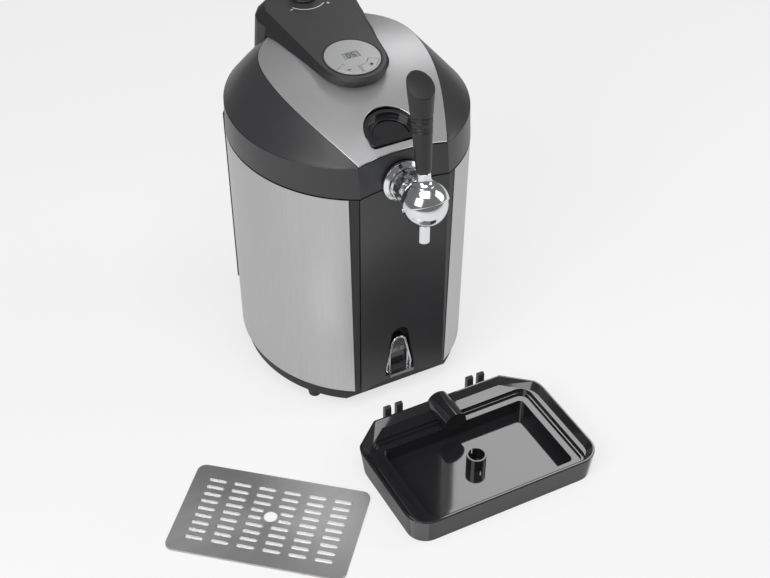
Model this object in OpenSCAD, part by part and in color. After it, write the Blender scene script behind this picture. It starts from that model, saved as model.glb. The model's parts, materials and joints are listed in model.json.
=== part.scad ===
// Drink dispenser for a five litre keg: cooled body, hinged lid with control console,
// pouring tap, drip tray and grate. Millimetres, +Z up, front towards -Y.
// The origin is on the surface it stands on, under the middle of the body.

/* [Body] */
// Width of the body where the lid meets it
body_w = 270; // [262:1:290]
// Depth of the body where the lid meets it
body_d = 300; // [294:1:320]
// Height of the lid seam above the surface it stands on
seam_z = 305.7; // [300:0.5:320]
// Height of the lower edge of the steel wraps
wrap_bottom_z = 28; // [24:0.5:32]
// How far each side leans in towards the bottom
side_lean = 4.6; // [0:0.1:8]
// Width of the hollow front panel between its corners
panel_w = 107.6; // [104:0.2:112]
// How deep the front panel is hollowed
panel_hollow = 7; // [5:0.5:9]
// Thickness of the front panel at its corners
panel_t = 10; // [9:0.5:12]
// Width of the dark corner trim at the top
trim_top_w = 12; // [8:0.5:16]
// Width of the dark corner trim at the bottom
trim_bottom_w = 6.5; // [5:0.5:9]
// Thickness of the steel wraps
steel_t = 0.8; // [0.6:0.1:1.2]
// Wall of the moulded casings
wall = 2.6; // [2:0.1:3.2]
// Height of the feet
feet_h = 11; // [9:0.5:14]

/* [Keg well] */
// Inside radius of the keg well
well_r = 87; // [86:0.5:89]
// Inside depth of the keg well
well_depth = 262; // [256:1:264]
// Distance of the keg axis in front of the body's middle
well_y = 20; // [18:0.5:22]
// Wall of the keg well
well_t = 1.2; // [0.8:0.1:1.6]
// Thickness of the foam round the well
foam_t = 21; // [16:0.5:23]

/* [Cooling unit] */
// Width and height of the fan
fan_w = 80; // [70:1:82]
// Height of the fan's shaft
fan_z = 190; // [180:1:200]
// Distance behind the body's middle at which the steel wraps end
wrap_end_y = 83; // [76:0.5:90]
// How far the rear cover stands proud of the body
cover_proud = 4.5; // [4:0.1:5.5]
// Lower edge of the rear cover
cover_bottom_z = 66; // [64:1:80]
// Thickness of the fins
fin_t = 1.4; // [1:0.1:2]
// Number of fins
fin_count = 14; // [8:1:18]

/* [Lid] */
// Height of the lid's black rim
rim_h = 35.7; // [32:0.5:40]
// Wall of the lid's mouldings
lid_wall = 2.6; // [2:0.1:3.2]
// Height of the silver top panel at its highest
lid_top_z = 392; // [386:0.5:398]
// Half width of the silver top panel at its widest
top_half_w = 93.5; // [88:0.5:98]
// Height of the panel's crown across the lid
crown = 3.5; // [1:0.5:5]
// Thickness of the silver top panel
top_t = 1.6; // [1:0.1:2.4]
// Distance of the hinge axis behind the body's back
hinge_back = 7; // [6:0.5:10]
// Height of the hinge axis above the lid seam
hinge_up = 7.3; // [7:0.1:9]
// Radius of the hinge pin
hinge_pin_r = 2.5; // [2:0.1:3]

/* [Console] */
// Radius of the console's round nose
nose_r = 37; // [35:0.5:40]
// Distance of the nose's middle in front of the body's middle
nose_y = 15; // [12:0.5:18]
// Height of the console's face at the nose's middle
nose_z = 399.1; // [397:0.5:402]
// Tilt of the console's face towards the front, in degrees
face_tilt = 6.8; // [5:0.1:8]
// Radius of the display disc
disc_r = 31; // [28:0.5:32]
// Distance of the pressure knob behind the body's middle
knob_y = 108.8; // [104:0.2:112]
// Radius of the pressure knob
knob_r = 15.5; // [13:0.5:17]
// Height of the pressure knob
knob_h = 14; // [10:0.5:18]
// Travel of the two display buttons
button_travel = 1; // [0.6:0.1:1.4]

/* [Lid latch] */
// Radius of the latch recess's round end
latch_r = 29.5; // [26:0.5:30]
// Distance of the recess's round middle in front of the body's middle
latch_y = 107; // [104:0.5:109]
// Distance of the recess's straight edge in front of that
latch_flat = 14; // [12:0.5:15]
// Travel of the latch button
latch_travel = 3; // [2:0.2:4]

/* [Tap] */
// Height of the tap's shank
tap_z = 310.4; // [309:0.2:312]
// Distance of the tap's ball in front of the body's middle
ball_y = 180.3; // [178:0.5:184]
// Radius of the tap's ball
ball_r = 24.7; // [23:0.1:26]
// Radius of the tap's wall flange
flange_r = 24.5; // [24:0.1:27]
// Outside radius of the spout
spout_r = 6.25; // [5.5:0.05:7]
// Bore radius of the spout
spout_bore_r = 4.5; // [4:0.1:5]
// Length of spout below the ball's middle
spout_len = 49; // [40:1:56]
// Length of the black handle
handle_len = 98.5; // [80:0.5:110]
// Lean of the handle towards the lid, in degrees
handle_lean = 6; // [0:0.5:9]

/* [Bottle opener] */
// Width of the opener at its foot
opener_w = 35; // [30:0.5:38]
// Height of the opener
opener_h = 51; // [46:0.5:56]
// Height of the opener's foot
opener_z = 36; // [35:0.5:40]

/* [Drip tray] */
// Width of the tray
tray_w = 239; // [230:1:250]
// Depth of the tray
tray_d = 166; // [160:1:176]
// Height of the tray
tray_h = 33.5; // [31:0.5:38]
// Radius of the tray's front corners
tray_corner_r = 26; // [22:1:30]
// Where the tray lies: sideways from the body's middle
tray_x = 18.3; // [14:0.5:22]
// Where the tray lies: distance of its middle in front of the body's middle
tray_y = 273; // [272:0.5:280]
// Radius of the tube in the middle of the tray
tube_r = 11.3; // [9:0.1:13]

/* [Grate] */
// Length of the grate
grate_w = 200; // [196:1:204]
// Depth of the grate
grate_d = 127; // [124:1:130]
// Height of the grate's turned edge
grate_h = 2.6; // [2:0.1:3.4]
// Thickness of the grate's sheet
grate_t = 0.9; // [0.6:0.1:1.2]
// Columns of slots
slot_columns = 6; // [4:1:6]
// Rows of slots
slot_rows = 9; // [5:2:9]
// Turn of the grate on the surface, in degrees
grate_turn = -40.6; // [-50:0.2:-30]
// Where the grate lies: sideways from the body's middle
grate_x = -222.3; // [-236:0.5:-215]
// Where the grate lies: distance of its middle in front of the body's middle
grate_y = 245.9; // [238:0.5:256]

/* [Hidden] */

// Fineness of round parts and of swept mouldings
$fn = 64;
sweep_steps = 34;

// Clearances: between parts of one body, between moving bodies, round a turning shaft
seat_gap = 0.2;
move_gap = 0.4;
shaft_gap = 0.05;
// A cut reaches this far past the face it opens
past = 1;

// Plan half sizes of the body at the seam and at the bottom of the wraps
half_w = body_w / 2;
half_d = body_d / 2;
foot_half_w = half_w - side_lean;
foot_half_d = half_d - side_lean / 3;
panel_half = panel_w / 2;

// The hollow front: a circle whose middle lies in front of the body
hollow_r = (pow(panel_half, 2) + pow(panel_hollow, 2)) / (2 * panel_hollow);
corner_y = -half_d * sqrt(1 - pow(panel_half / half_w, 2));
hollow_mid_y = corner_y + panel_hollow - hollow_r;

// Angles round the plan, from the +X side; the right side is drawn and mirrored
corner_angle = -acos(panel_half / half_w);
trim_top_angle = -acos((panel_half + 0.9 * trim_top_w) / half_w);
trim_bottom_angle = -acos((panel_half + 0.9 * trim_bottom_w) / foot_half_w);
wrap_rear_angle = asin(wrap_end_y / half_d);
trim_joint = 0.25;

// Levels
wrap_top_z = seam_z - 1.5;
deck_t = 7;
deck_top_z = wrap_top_z - 2.2;
well_mouth_z = deck_top_z + well_t + seat_gap;
well_floor_z = well_mouth_z - well_depth;
rim_bottom_z = seam_z;
rim_top_z = seam_z + rim_h;
hinge_y = half_d + hinge_back;
hinge_z = seam_z + hinge_up;
skirt_inset = 5;
skirt_front_y = -122;
floor_t = 4;

// Lid shape
panel_bow = 0.00135;
crest_y = 60;
crease_front_y = -133;
crease_rear_y = 75;
front_half = panel_half - 0.4;
rim_lean = 5;
rim_front_rise = 2.2;
liner_r = well_r + 8;
liner_roof_z = seam_z + 24;
liner_pan_t = 2.4;
shank_notch_half = 26;
shank_notch_y = -94;

// Tap
shank_r = 8;
boss_r = 20;
boss_back_y = corner_y + panel_hollow + 7;
boss_front_y = corner_y + panel_hollow - 1.5;
notch_r = 22.5;
nut_t = 6;

// Grate and tray
grate_corner_r = 10;
ledge_play = 0.8;
rim_lip = 2.4;
rim_slope_w = 7.3;
tray_floor_t = 3;
ledge_z = tray_h - 12.5;
rim_step_z = tray_h - 6.5;
seat_step_z = tray_h - 9.9;
seat_step_w = 3.6;
tray_draft = 4;
slot_pitch_x = 28.8;
slot_pitch_y = 10.63;
slot_len = 19.8;
slot_w = 2.8;
grate_hole_r = 7.5;
grate_hole_off = 4.5;

// ---------- shared functions ----------

// Point on an ellipse
function oval(a, rx, ry) = [rx * cos(a), ry * sin(a)];

// Value part way between two
function between(p, q, t) = p + (q - p) * t;

// Point on a cubic curve
function bezier(p, t) =
  pow(1 - t, 3) * p[0] + 3 * pow(1 - t, 2) * t * p[1] + 3 * (1 - t) * t * t * p[2] + pow(t, 3) * p[3];

// Steps from 0 to 1
function steps(n) = [for (i = [0:n]) i / n];

// Height of the console's face over a point of the lid
function face_z(y) = nose_z + tan(face_tilt) * (y + nose_y);

// Height of the silver panel over a point of the lid
function panel_z(x, y) =
  lid_top_z - panel_bow * pow(crest_y - y, 2) + crown * (1 - pow(x / top_half_w, 2));

// Outline of the body at an inset, with its hollow front
function body_plan(inset, n = 96) = let(
    rx = half_w - inset,
    ry = half_d - inset,
    xf = panel_half - inset * 0.6,
    a0 = -acos(xf / rx),
    span = 180 - 2 * a0,
    mid = hollow_mid_y,
    r = hollow_r + inset
  ) concat(
    [for (t = steps(n)) oval(a0 + span * t, rx, ry)],
    [for (i = [1:11]) let(x = between(-xf, xf, i / 12)) [x, mid + sqrt(r * r - x * x)]]
  );

// A closed skin over rings of equal length; its ends are closed across each ring
module loft(rings, closed = false) {
  n = len(rings);
  k = len(rings[0]);
  sides = [
    for (i = [0:n - (closed ? 1 : 2)], j = [0:k - 1], t = [0, 1]) let(
      a = i * k + j,
      b = i * k + (j + 1) % k,
      c = ((i + 1) % n) * k + (j + 1) % k,
      d = ((i + 1) % n) * k + j
    ) t == 0 ? [a, b, c] : [a, c, d]
  ];
  first = [for (j = [0:k / 2 - 2]) [j + 1, j, k - 1 - j, k - 2 - j]];
  last = [for (f = first) [for (v = [3:-1:0]) f[v] + (n - 1) * k]];
  polyhedron([for (r = rings) each r], closed ? sides : concat(sides, first, last), convexity = 8);
}

// A solid between two outlines of equal length, one above the other
module slab(low, high) {
  n = len(low);
  sides = [
    for (i = [0:n - 1], t = [0, 1]) let(b = (i + 1) % n)
      t == 0 ? [i, i + n, b] : [b, i + n, b + n]
  ];
  bottom = [[for (i = [0:n - 1]) i]];
  top = [[for (i = [n - 1:-1:0]) i + n]];
  polyhedron(concat(low, high), concat(bottom, sides, top), convexity = 4);
}

// Point on the body's leaning side at an inset
function side_point(a, inset, z) = let(
    f = (seam_z - z) / (seam_z - wrap_bottom_z),
    p = oval(a, between(half_w, foot_half_w, f) - inset, between(half_d, foot_half_d, f) - inset)
  ) [p.x, p.y, z];

// A wall section standing on the body's side at two angles
function wall_ring(a_low, a_high, inset, t, z0, z1) = [
  side_point(a_low, inset, z0), side_point(a_high, inset, z1),
  side_point(a_high, inset + t, z1), side_point(a_low, inset + t, z0)
];

// Upright prism over the body's plan, grown all round
module body_prism(grow, z0, z1) {
  translate([0, 0, z0])
    linear_extrude(z1 - z0)
      polygon([for (t = steps(95)) oval(360 * t, half_w + grow, half_d + grow)]);
}

// A rod along Y
module rod_y(r, y0, y1) {
  translate([0, y1, 0])
    rotate([90, 0, 0])
      cylinder(r = r, h = y1 - y0);
}

// A rod along X
module rod_x(r, x0, x1) {
  translate([x0, 0, 0])
    rotate([0, 90, 0])
      cylinder(r = r, h = x1 - x0);
}

// A flat plate with round corners and true arcs
module round_plate(w, d, r, h) {
  linear_extrude(h)
    union() {
      square([w - 2 * r, d], center = true);
      square([w, d - 2 * r], center = true);
      for (x = [-1, 1], y = [-1, 1])
        translate([x * (w / 2 - r), y * (d / 2 - r)])
          circle(r);
    }
}

// Places a piece on the console's tilted face, over a point of the lid
module on_face(y) {
  translate([0, y, face_z(y)])
    rotate([face_tilt, 0, 0])
      children();
}

// ---------- body ----------

module base() {
  skirt = [for (t = steps(95)) oval(360 * t, foot_half_w - skirt_inset, foot_half_d - skirt_inset)];
  color("#1b1b1c")
    difference() {
      translate([0, 0, feet_h])
        linear_extrude(wrap_bottom_z - feet_h + 2)
          intersection() {
            polygon(skirt);
            translate([-half_w, skirt_front_y])
              square([body_w, body_d + 20]);
          }
      translate([0, 0, feet_h + floor_t])
        linear_extrude(wrap_bottom_z)
          intersection() {
            polygon([for (p = skirt) p * (1 - wall / half_w)]);
            translate([-half_w, skirt_front_y + wall])
              square([body_w, body_d]);
          }
      // air inlets under the cooling unit
      for (side = [-1, 1], i = [0:2])
        translate([side * (48 + i * 8) - 2, half_d - 66, feet_h - past])
          cube([4, 24, floor_t + 2 * past]);
    }
}

module feet() {
  front = [0.72 * foot_half_w - 4, 0.57 * foot_half_d];
  rear = [0.63 * foot_half_w, 0.64 * foot_half_d];
  spots = [[-front.x, -front.y], [front.x, -front.y], [-rear.x, rear.y], [rear.x, rear.y]];
  color("#141414")
    for (p = spots)
      translate([p.x, p.y, 0])
        cylinder(r1 = 7, r2 = 9, h = feet_h);
}

module inner_housing() {
  low = trim_bottom_angle - 0.2;
  high = trim_top_angle - 0.2;
  inset = steel_t + seat_gap;
  top = deck_top_z - deck_t - seat_gap;
  color("#202022")
    difference() {
      loft([
        for (t = steps(2 * sweep_steps)) wall_ring(
          between(low, 180 - low, t), between(high, 180 - high, t),
          inset, wall, wrap_bottom_z + 2 + seat_gap, top
        )
      ]);
      // window behind the cooling unit
      translate([-fan_w / 2 - 6, 60, fan_z - sink_h / 2 - 6])
        cube([fan_w + 12, 120, sink_h + 12]);
      inlet_opening(20);
      cover_screw_spots()
        rod_y(1.6, -12, 2);
    }
}

module steel_wrap() {
  color("#c3c3c4")
    loft([
      for (t = steps(sweep_steps)) wall_ring(
        between(trim_bottom_angle, wrap_rear_angle, t),
        between(trim_top_angle, wrap_rear_angle, t),
        0, steel_t, wrap_bottom_z, wrap_top_z
      )
    ]);
}

module steel_wrap_right() {
  steel_wrap();
}

module steel_wrap_left() {
  mirror([1, 0, 0])
    steel_wrap();
}

module front_panel() {
  color("#2a2a2b")
    difference() {
      union() {
        intersection() {
          translate([-panel_half, corner_y, wrap_bottom_z])
            cube([panel_w, panel_t, wrap_top_z - wrap_bottom_z]);
          translate([0, 0, wrap_bottom_z - past])
            linear_extrude(seam_z)
              polygon([
                [-panel_half, corner_y],
                [panel_half, corner_y],
                [panel_half - 3, corner_y + panel_t],
                [-panel_half + 3, corner_y + panel_t]
              ]);
        }
        // boss that carries the tap
        translate([0, 0, tap_z])
          rod_y(boss_r, boss_front_y, boss_back_y);
        // pocket behind the niche
        translate([-niche_half, corner_y + panel_hollow + 1, opener_z - 3.2])
          cube([2 * niche_half, niche_back_y + 2 - corner_y - panel_hollow - 1, niche_h + 6.4]);
      }
      // hollow front
      difference() {
        translate([0, hollow_mid_y, 0])
          cylinder(r = hollow_r, h = wrap_top_z + past, $fn = 180);
        translate([0, 0, tap_z])
          rod_y(boss_r, boss_front_y, boss_back_y);
      }
      // hole for the tap's shank
      translate([0, 0, tap_z])
        rod_y(shank_r + seat_gap, corner_y - past, boss_back_y + past);
      // the panel's back is thinned behind the boss so that it stands clear of the deck
      translate([-panel_half + 12, corner_y + panel_hollow + 4.5, wrap_bottom_z + 90])
        cube([panel_w - 24, panel_t, 170]);
      // arched niche for the bottle opener
      translate([0, niche_back_y, opener_z])
        rotate([90, 0, 0])
          opener_arch(1.2, 3 * panel_t, niche_h);
    }
}

// Arch that the opener and its niche share: square foot, round top
module opener_arch(grow, h, tall) {
  top_r = 10.5 + grow;
  linear_extrude(h)
    hull() {
      translate([-opener_w / 2 - grow, -grow])
        square([opener_w + 2 * grow, 8]);
      translate([0, tall - top_r])
        circle(top_r, $fn = 32);
    }
}

module corner_trim() {
  recess = 0.5;
  foot_angle = -acos((panel_half + 0.3) / foot_half_w);
  color("#121213")
    for (side = [0, 1])
      mirror([side, 0, 0])
        loft([
          for (t = steps(4)) wall_ring(
            between(foot_angle, trim_bottom_angle - trim_joint, t),
            between(corner_angle + 0.35, trim_top_angle - trim_joint, t),
            recess, 1.5, wrap_bottom_z, wrap_top_z
          )
        ]);
}

module rear_skirt() {
  a0 = wrap_rear_angle + 0.3;
  span = 180 - 2 * a0;
  color("#1e1e1f")
    difference() {
      loft([
        for (t = steps(2 * sweep_steps))
          wall_ring(a0 + span * t, a0 + span * t, 0, steel_t, wrap_bottom_z, cover_bottom_z - 0.6)
      ]);
      inlet_opening(20);
    }
}

module top_deck() {
  lip = 2.2;
  color("#1d1d1e")
    translate([0, 0, deck_top_z - deck_t])
      difference() {
        linear_extrude(deck_t)
          polygon(body_plan(lip));
        translate([0, -well_y, -past])
          cylinder(r = well_r + well_t + seat_gap, h = deck_t + 2 * past, $fn = 128);
        // the front panel and its boss stand in front of the deck
        translate([-panel_half - 1, corner_y - 20, -past])
          cube([panel_w + 2, 20 + panel_t + 0.4, deck_t + 2 * past]);
        translate([-boss_r - 1, corner_y - 20, tap_z - deck_top_z + deck_t - boss_r - 1])
          cube([2 * boss_r + 2, boss_back_y - corner_y + 20.4, 2 * boss_r]);
        // room for the tap's nut
        translate([-16, corner_y - 20, -past])
          cube([32, boss_back_y + nut_t + 1.4 - corner_y + 20, deck_t + 2 * past]);
      }
}

module keg_well() {
  lip_w = 7;
  color("#c9cccf")
    translate([0, -well_y, 0])
      difference() {
        union() {
          translate([0, 0, well_floor_z - well_t])
            cylinder(r = well_r + well_t, h = well_depth + well_t, $fn = 128);
          translate([0, 0, well_mouth_z - well_t])
            cylinder(r = well_r + lip_w, h = well_t, $fn = 128);
        }
        translate([0, 0, well_floor_z])
          cylinder(r = well_r, h = well_depth + past, $fn = 128);
        // the lip is cut back in front, where the tap comes through
        translate([-shank_r - 12, -well_r - 20, well_mouth_z - well_t - past])
          cube([2 * shank_r + 24, 20 - well_t - 0.4, well_t + 2 * past]);
      }
}

module foam_jacket() {
  r_in = well_r + well_t + seat_gap;
  bottom = feet_h + floor_t + seat_gap;
  color("#e6e4dc")
    translate([0, -well_y, 0])
      difference() {
        translate([0, 0, bottom])
          cylinder(r = r_in + foam_t, h = deck_top_z - deck_t - seat_gap - bottom, $fn = 128);
        translate([0, 0, well_floor_z - well_t - seat_gap])
          cylinder(r = r_in, h = well_depth + 20, $fn = 128);
        // flat behind the front panel
        translate([-half_w, -half_d, 0])
          cube([body_w, half_d + well_y + corner_y + panel_t + 1, seam_z]);
        // room for the niche's pocket
        translate([-niche_half - 1, -half_d, 0])
          cube([2 * niche_half + 2, half_d + well_y + niche_back_y + 3, opener_z + niche_h + 5]);
        // room for the tap's boss
        translate([-boss_r - 1, -half_d, tap_z - boss_r - 1])
          cube([2 * boss_r + 2, half_d + well_y + boss_back_y + 1, 2 * boss_r]);
        // window for the cold block
        translate([-block_w / 2 - seat_gap, 0, fan_z - block_h / 2 - seat_gap])
          cube([block_w + 2 * seat_gap, half_d, block_h + 2 * seat_gap]);
        // above the skirt the foam stays inside the base wall
        translate([0, 0, bottom - past])
          difference() {
            cylinder(r = 2 * half_w, h = wrap_bottom_z + 3 - bottom + past, $fn = 32);
            cylinder(r = -skirt_front_y - well_y - wall - 2, h = body_d, $fn = 128);
          }
      }
}

// ---------- cooling unit ----------

block_w = 64;
block_h = 100;
block_back_y = 88;
peltier_t = 4;
sink_base_t = 6;
sink_w = 100;
sink_h = 120;
fan_t = 20;
sink_front_y = block_back_y + peltier_t;
fin_back_y = half_d - 28;

module cold_block() {
  color("#b9bcc0")
    difference() {
      translate([-block_w / 2, 40, fan_z - block_h / 2])
        cube([block_w, block_back_y - 40, block_h]);
      translate([0, -well_y, 0])
        cylinder(r = well_r + well_t + 0.1, h = seam_z, $fn = 128);
    }
}

module peltier_module() {
  size = 40;
  color("#f0efe9")
    translate([-size / 2, block_back_y, fan_z - size / 2])
      cube([size, peltier_t, size]);
}

module heat_sink() {
  pitch = (sink_w - fin_t) / (fin_count - 1);
  color("#a9acb0") {
    translate([-sink_w / 2, sink_front_y, fan_z - sink_h / 2])
      cube([sink_w, sink_base_t, sink_h]);
    for (i = [0:fin_count - 1])
      translate([-sink_w / 2 + i * pitch, sink_front_y, fan_z - sink_h / 2])
        cube([fin_t, fin_back_y - sink_front_y, sink_h]);
  }
}

fan_front_y = fin_back_y + 0.1;
fan_back_y = fan_front_y + fan_t;
fan_bore_r = 0.46 * fan_w;
hub_r = 18;
fan_shaft_r = 2;

module fan_frame() {
  hole_pitch = 0.445 * fan_w;
  color("#19191a") {
    translate([0, 0, fan_z])
      difference() {
        translate([-fan_w / 2, fan_front_y, -fan_w / 2])
          cube([fan_w, fan_t, fan_w]);
        rod_y(fan_bore_r, fan_front_y - past, fan_back_y + past);
        for (x = [-1, 1], z = [-1, 1])
          translate([x * hole_pitch, 0, z * hole_pitch])
            rod_y(2.2, fan_front_y - past, fan_back_y + past);
      }
    // spider that carries the shaft
    translate([0, 0, fan_z]) {
      rod_y(hub_r, fan_back_y - 4, fan_back_y);
      for (a = [45:90:315])
        rotate([0, a, 0])
          translate([-2, fan_back_y - 4, hub_r - 2])
            cube([4, 4, fan_bore_r - hub_r + 4]);
      rod_y(fan_shaft_r, fan_front_y + 6, fan_back_y - 3);
    }
  }
}

module fan_rotor() {
  blades = 7;
  front = fan_front_y + 3;
  back = fan_back_y - 4.6;
  blade_tilt = 32;
  color("#232325")
    translate([0, 0, fan_z])
      difference() {
        union() {
          rod_y(hub_r, front, back);
          intersection() {
            for (i = [0:blades - 1])
              rotate([0, i * 360 / blades, 0])
                translate([0, (front + back) / 2, 0])
                  rotate([0, 0, blade_tilt])
                    translate([-0.9, -20, hub_r - 4])
                      cube([1.8, 40, fan_bore_r - hub_r + 10]);
            rod_y(fan_bore_r - 1.5, front + 1, back - 1);
          }
        }
        rod_y(fan_shaft_r + shaft_gap, front + 2, back + past);
      }
}

cover_top_z = wrap_top_z - 0.2;
bracket_tab_h = 22;
bracket_tab_t = 3.6;

// One section of the rear cover: its wall with a lip turned in at the bottom and at the top
function cover_ring(a) = let(
    lip = steel_t + 0.1,
    z = [cover_bottom_z, cover_bottom_z + wall, cover_top_z - wall, cover_top_z]
  ) [
    side_point(a, lip, z[0]), side_point(a, -cover_proud, z[0]),
    side_point(a, -cover_proud, z[3]), side_point(a, lip, z[3]),
    side_point(a, lip, z[2]), side_point(a, wall - cover_proud, z[2]),
    side_point(a, wall - cover_proud, z[1]), side_point(a, lip, z[1])
  ];

// Places a piece on the rear cover's face; +Y points outwards
module at_cover(a, z, lift = 0) {
  p = side_point(a, -cover_proud - lift, z);
  translate(p)
    rotate(atan2(sin(a) / half_d, cos(a) / half_w) - 90)
      children();
}

// Two screws at the bottom of the cover and one in each hinge bracket
module cover_screw_spots(lift = false) {
  tab_angle = acos((leaf_half + 0.5 + bracket_w / 2) / (half_w + cover_proud));
  for (a = [60, 120])
    at_cover(a, cover_bottom_z + 12)
      children();
  for (a = [tab_angle, 180 - tab_angle])
    at_cover(a, cover_top_z - bracket_tab_h + 6, lift ? bracket_tab_t + 0.1 : 0)
      children();
}

module rear_cover() {
  slot_step = 10;
  slot_high = 4.4;
  rear_slots = 9;
  side_slots = 6;
  a0 = wrap_rear_angle + 0.7;
  span = 180 - 2 * a0;
  end_wall = 1.2;
  color("#1c1c1d")
    difference() {
      union() {
        loft([for (t = steps(28)) cover_ring(a0 + span * t)]);
        // upright walls at both ends
        for (a = [a0, 180 - a0 - end_wall])
          loft([
            for (t = steps(2)) wall_ring(
              a + end_wall * t, a + end_wall * t, 0.5 - cover_proud, cover_proud - 0.5 + steel_t + 0.1,
              cover_bottom_z + 0.5, cover_top_z - 0.5
            )
          ]);
      }
      // louvres behind the fan and towards both sides
      for (i = [0:rear_slots - 1])
        translate([-34, half_d - 20, fan_z + (i - (rear_slots - 1) / 2) * slot_step])
          cube([68, 40, slot_high]);
      for (a = [49, 131], i = [0:side_slots - 1])
        at_cover(a, fan_z + (i - (side_slots - 1) / 2) * slot_step)
          translate([-9, 1.4 - cover_proud, 0])
            cube([18, 10, slot_high]);
      cover_screw_spots()
        rod_y(1.6, -6, 2);
    }
}

module cover_screws() {
  color("#8d8f92")
    cover_screw_spots(true)
      difference() {
        union() {
          rod_y(1.5, -8.5, 0.2);
          rod_y(3.4, 0.1, 2.1);
        }
        for (turn = [0, 90])
          rotate([0, turn, 0])
            translate([-0.45, 1.1, -2.4])
              cube([0.9, 2, 4.8]);
      }
}

inlet_z = 48;
inlet_w = 27;
inlet_h = 20;
inlet_depth = 18;
inlet_face_y = side_point(90, 0, inlet_z).y + 0.3;

// Space that the power socket takes in the walls
module inlet_opening(deep) {
  translate([-inlet_w / 2 - seat_gap, inlet_face_y - deep, inlet_z - inlet_h / 2 - seat_gap])
    cube([inlet_w + 2 * seat_gap, deep + 5, inlet_h + 2 * seat_gap]);
}

module power_inlet() {
  flange_t = 2;
  pin_len = 11;
  back = inlet_face_y - inlet_depth;
  color("#101011")
    difference() {
      union() {
        translate([-inlet_w / 2, back, inlet_z - inlet_h / 2])
          cube([inlet_w, inlet_depth + 1, inlet_h]);
        translate([-inlet_w / 2 - 2, inlet_face_y, inlet_z - inlet_h / 2 - 2])
          cube([inlet_w + 4, flange_t, inlet_h + 4]);
      }
      translate([-inlet_w / 2 + 2, back + 2, inlet_z - inlet_h / 2 + 2])
        cube([inlet_w - 4, inlet_depth + flange_t, inlet_h - 4]);
    }
  color("#d0d0d0")
    for (p = [[-7, -2], [0, 3], [7, -2]])
      translate([p.x - 1, back + 1, inlet_z + p.y - 2])
        cube([2, pin_len, 4]);
}

module power_board() {
  board_t = 1.6;
  wide = 84;
  deep = 32;
  stand = 4;
  front_y = half_d - 54;
  base_z = feet_h + floor_t + 0.1;
  color("#1f5a34")
    translate([-wide / 2, front_y, base_z + stand])
      cube([wide, deep, board_t]);
  color("#333335")
    translate([-wide / 2, front_y, base_z + stand + board_t]) {
      translate([6, 4, -0.1])
        cube([24, 20, 14]);
      translate([44, 16, -0.1])
        cylinder(r = 7, h = 14);
      translate([64, 14, -0.1])
        cylinder(r = 5, h = 12);
    }
  // stand-offs on the base's floor
  color("#333335")
    for (x = [4, wide - 4], y = [4, deep - 4])
      translate([x - wide / 2, front_y + y, base_z])
        cylinder(r = 2.6, h = stand + 0.5);
}

// ---------- hinge ----------

knuckle_r = 6;
leaf_half = 26;
bracket_w = 18;

module hinge_brackets() {
  web_z = cover_top_z - 5;
  color("#161617")
    for (side = [0, 1])
      mirror([side, 0, 0])
        difference() {
          union() {
            translate([leaf_half + 0.5, hinge_y, hinge_z])
              rod_x(knuckle_r, 0, bracket_w);
            translate([leaf_half + 0.5, half_d - 20, web_z])
              cube([bracket_w, hinge_y + knuckle_r - half_d + 20, hinge_z - web_z]);
            // tab that lies on the rear cover
            intersection() {
              translate([leaf_half + 0.5, half_d - 20, cover_top_z - bracket_tab_h])
                cube([bracket_w, 40, bracket_tab_h]);
              body_prism(cover_proud + 0.1 + bracket_tab_t, cover_bottom_z, seam_z);
            }
          }
          body_prism(cover_proud + 0.1, cover_bottom_z, seam_z + rim_h);
          translate([leaf_half + 0.5, hinge_y, hinge_z])
            rod_x(hinge_pin_r + shaft_gap, -past, bracket_w + past);
          cover_screw_spots()
            rod_y(1.6, -6, 12);
        }
}

module hinge_leaf() {
  color("#161617")
    difference() {
      union() {
        translate([0, hinge_y, hinge_z])
          rod_x(knuckle_r, -leaf_half, leaf_half);
        translate([-leaf_half, half_d - 12, hinge_z - 4])
          cube([2 * leaf_half, hinge_y - half_d + 12, 20]);
      }
      body_prism(seat_gap, rim_bottom_z - past, rim_top_z + past);
      translate([-leaf_half - past, hinge_y, hinge_z + knuckle_r])
        cube([2 * leaf_half + 2 * past, 20, 20]);
      translate([0, hinge_y, hinge_z])
        rod_x(hinge_pin_r + shaft_gap, -leaf_half - past, leaf_half + past);
    }
}

module hinge_pin() {
  reach = leaf_half + bracket_w + 1.5;
  color("#b5b7ba")
    translate([0, hinge_y, hinge_z]) {
      rod_x(hinge_pin_r, -reach, reach);
      for (x = [-reach - 1.5, reach])
        rod_x_at(x);
    }
}

// Head at one end of the hinge pin
module rod_x_at(x) {
  rod_x(hinge_pin_r + 1.5, x, x + 1.5);
}

// ---------- lid ----------

// One upright section of the rim; its front leans back
function rim_ring(p_low, p_high, q_high, q_low, z_high) =
  [[p_low.x, p_low.y, rim_bottom_z], [p_high.x, p_high.y, z_high],
   [q_high.x, q_high.y, z_high], [q_low.x, q_low.y, rim_bottom_z]];

// Outline of the rim with its front pushed back by lean
function rim_plan(inset, lean) = let(
    rx = half_w - inset,
    xf = panel_half - inset * 0.6,
    a0 = -acos(xf / rx),
    span = 180 - 2 * a0,
    front = corner_y + lean + inset * 0.8,
    ry = front / sin(a0),
    n = 2 * sweep_steps
  ) concat(
    [for (t = steps(n)) let(a = a0 + span * t) oval(a, rx, a < 0 || a > 180 ? ry : between(ry, half_d - inset,
      min(1, sin(a) * 1.4)))],
    [for (i = [1:11]) let(x = between(-xf, xf, i / 12)) [x, front + panel_hollow * (1 - pow(x / xf, 2))]]
  );

// How high the rim's top stands at each point of that outline
function rim_rise(inset) = let(n = 2 * sweep_steps) concat(
    [for (t = steps(n)) rim_top_z],
    [for (i = [1:11]) rim_top_z + rim_front_rise * (1 - pow((i - 6) / 6, 2))]
  );

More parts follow.
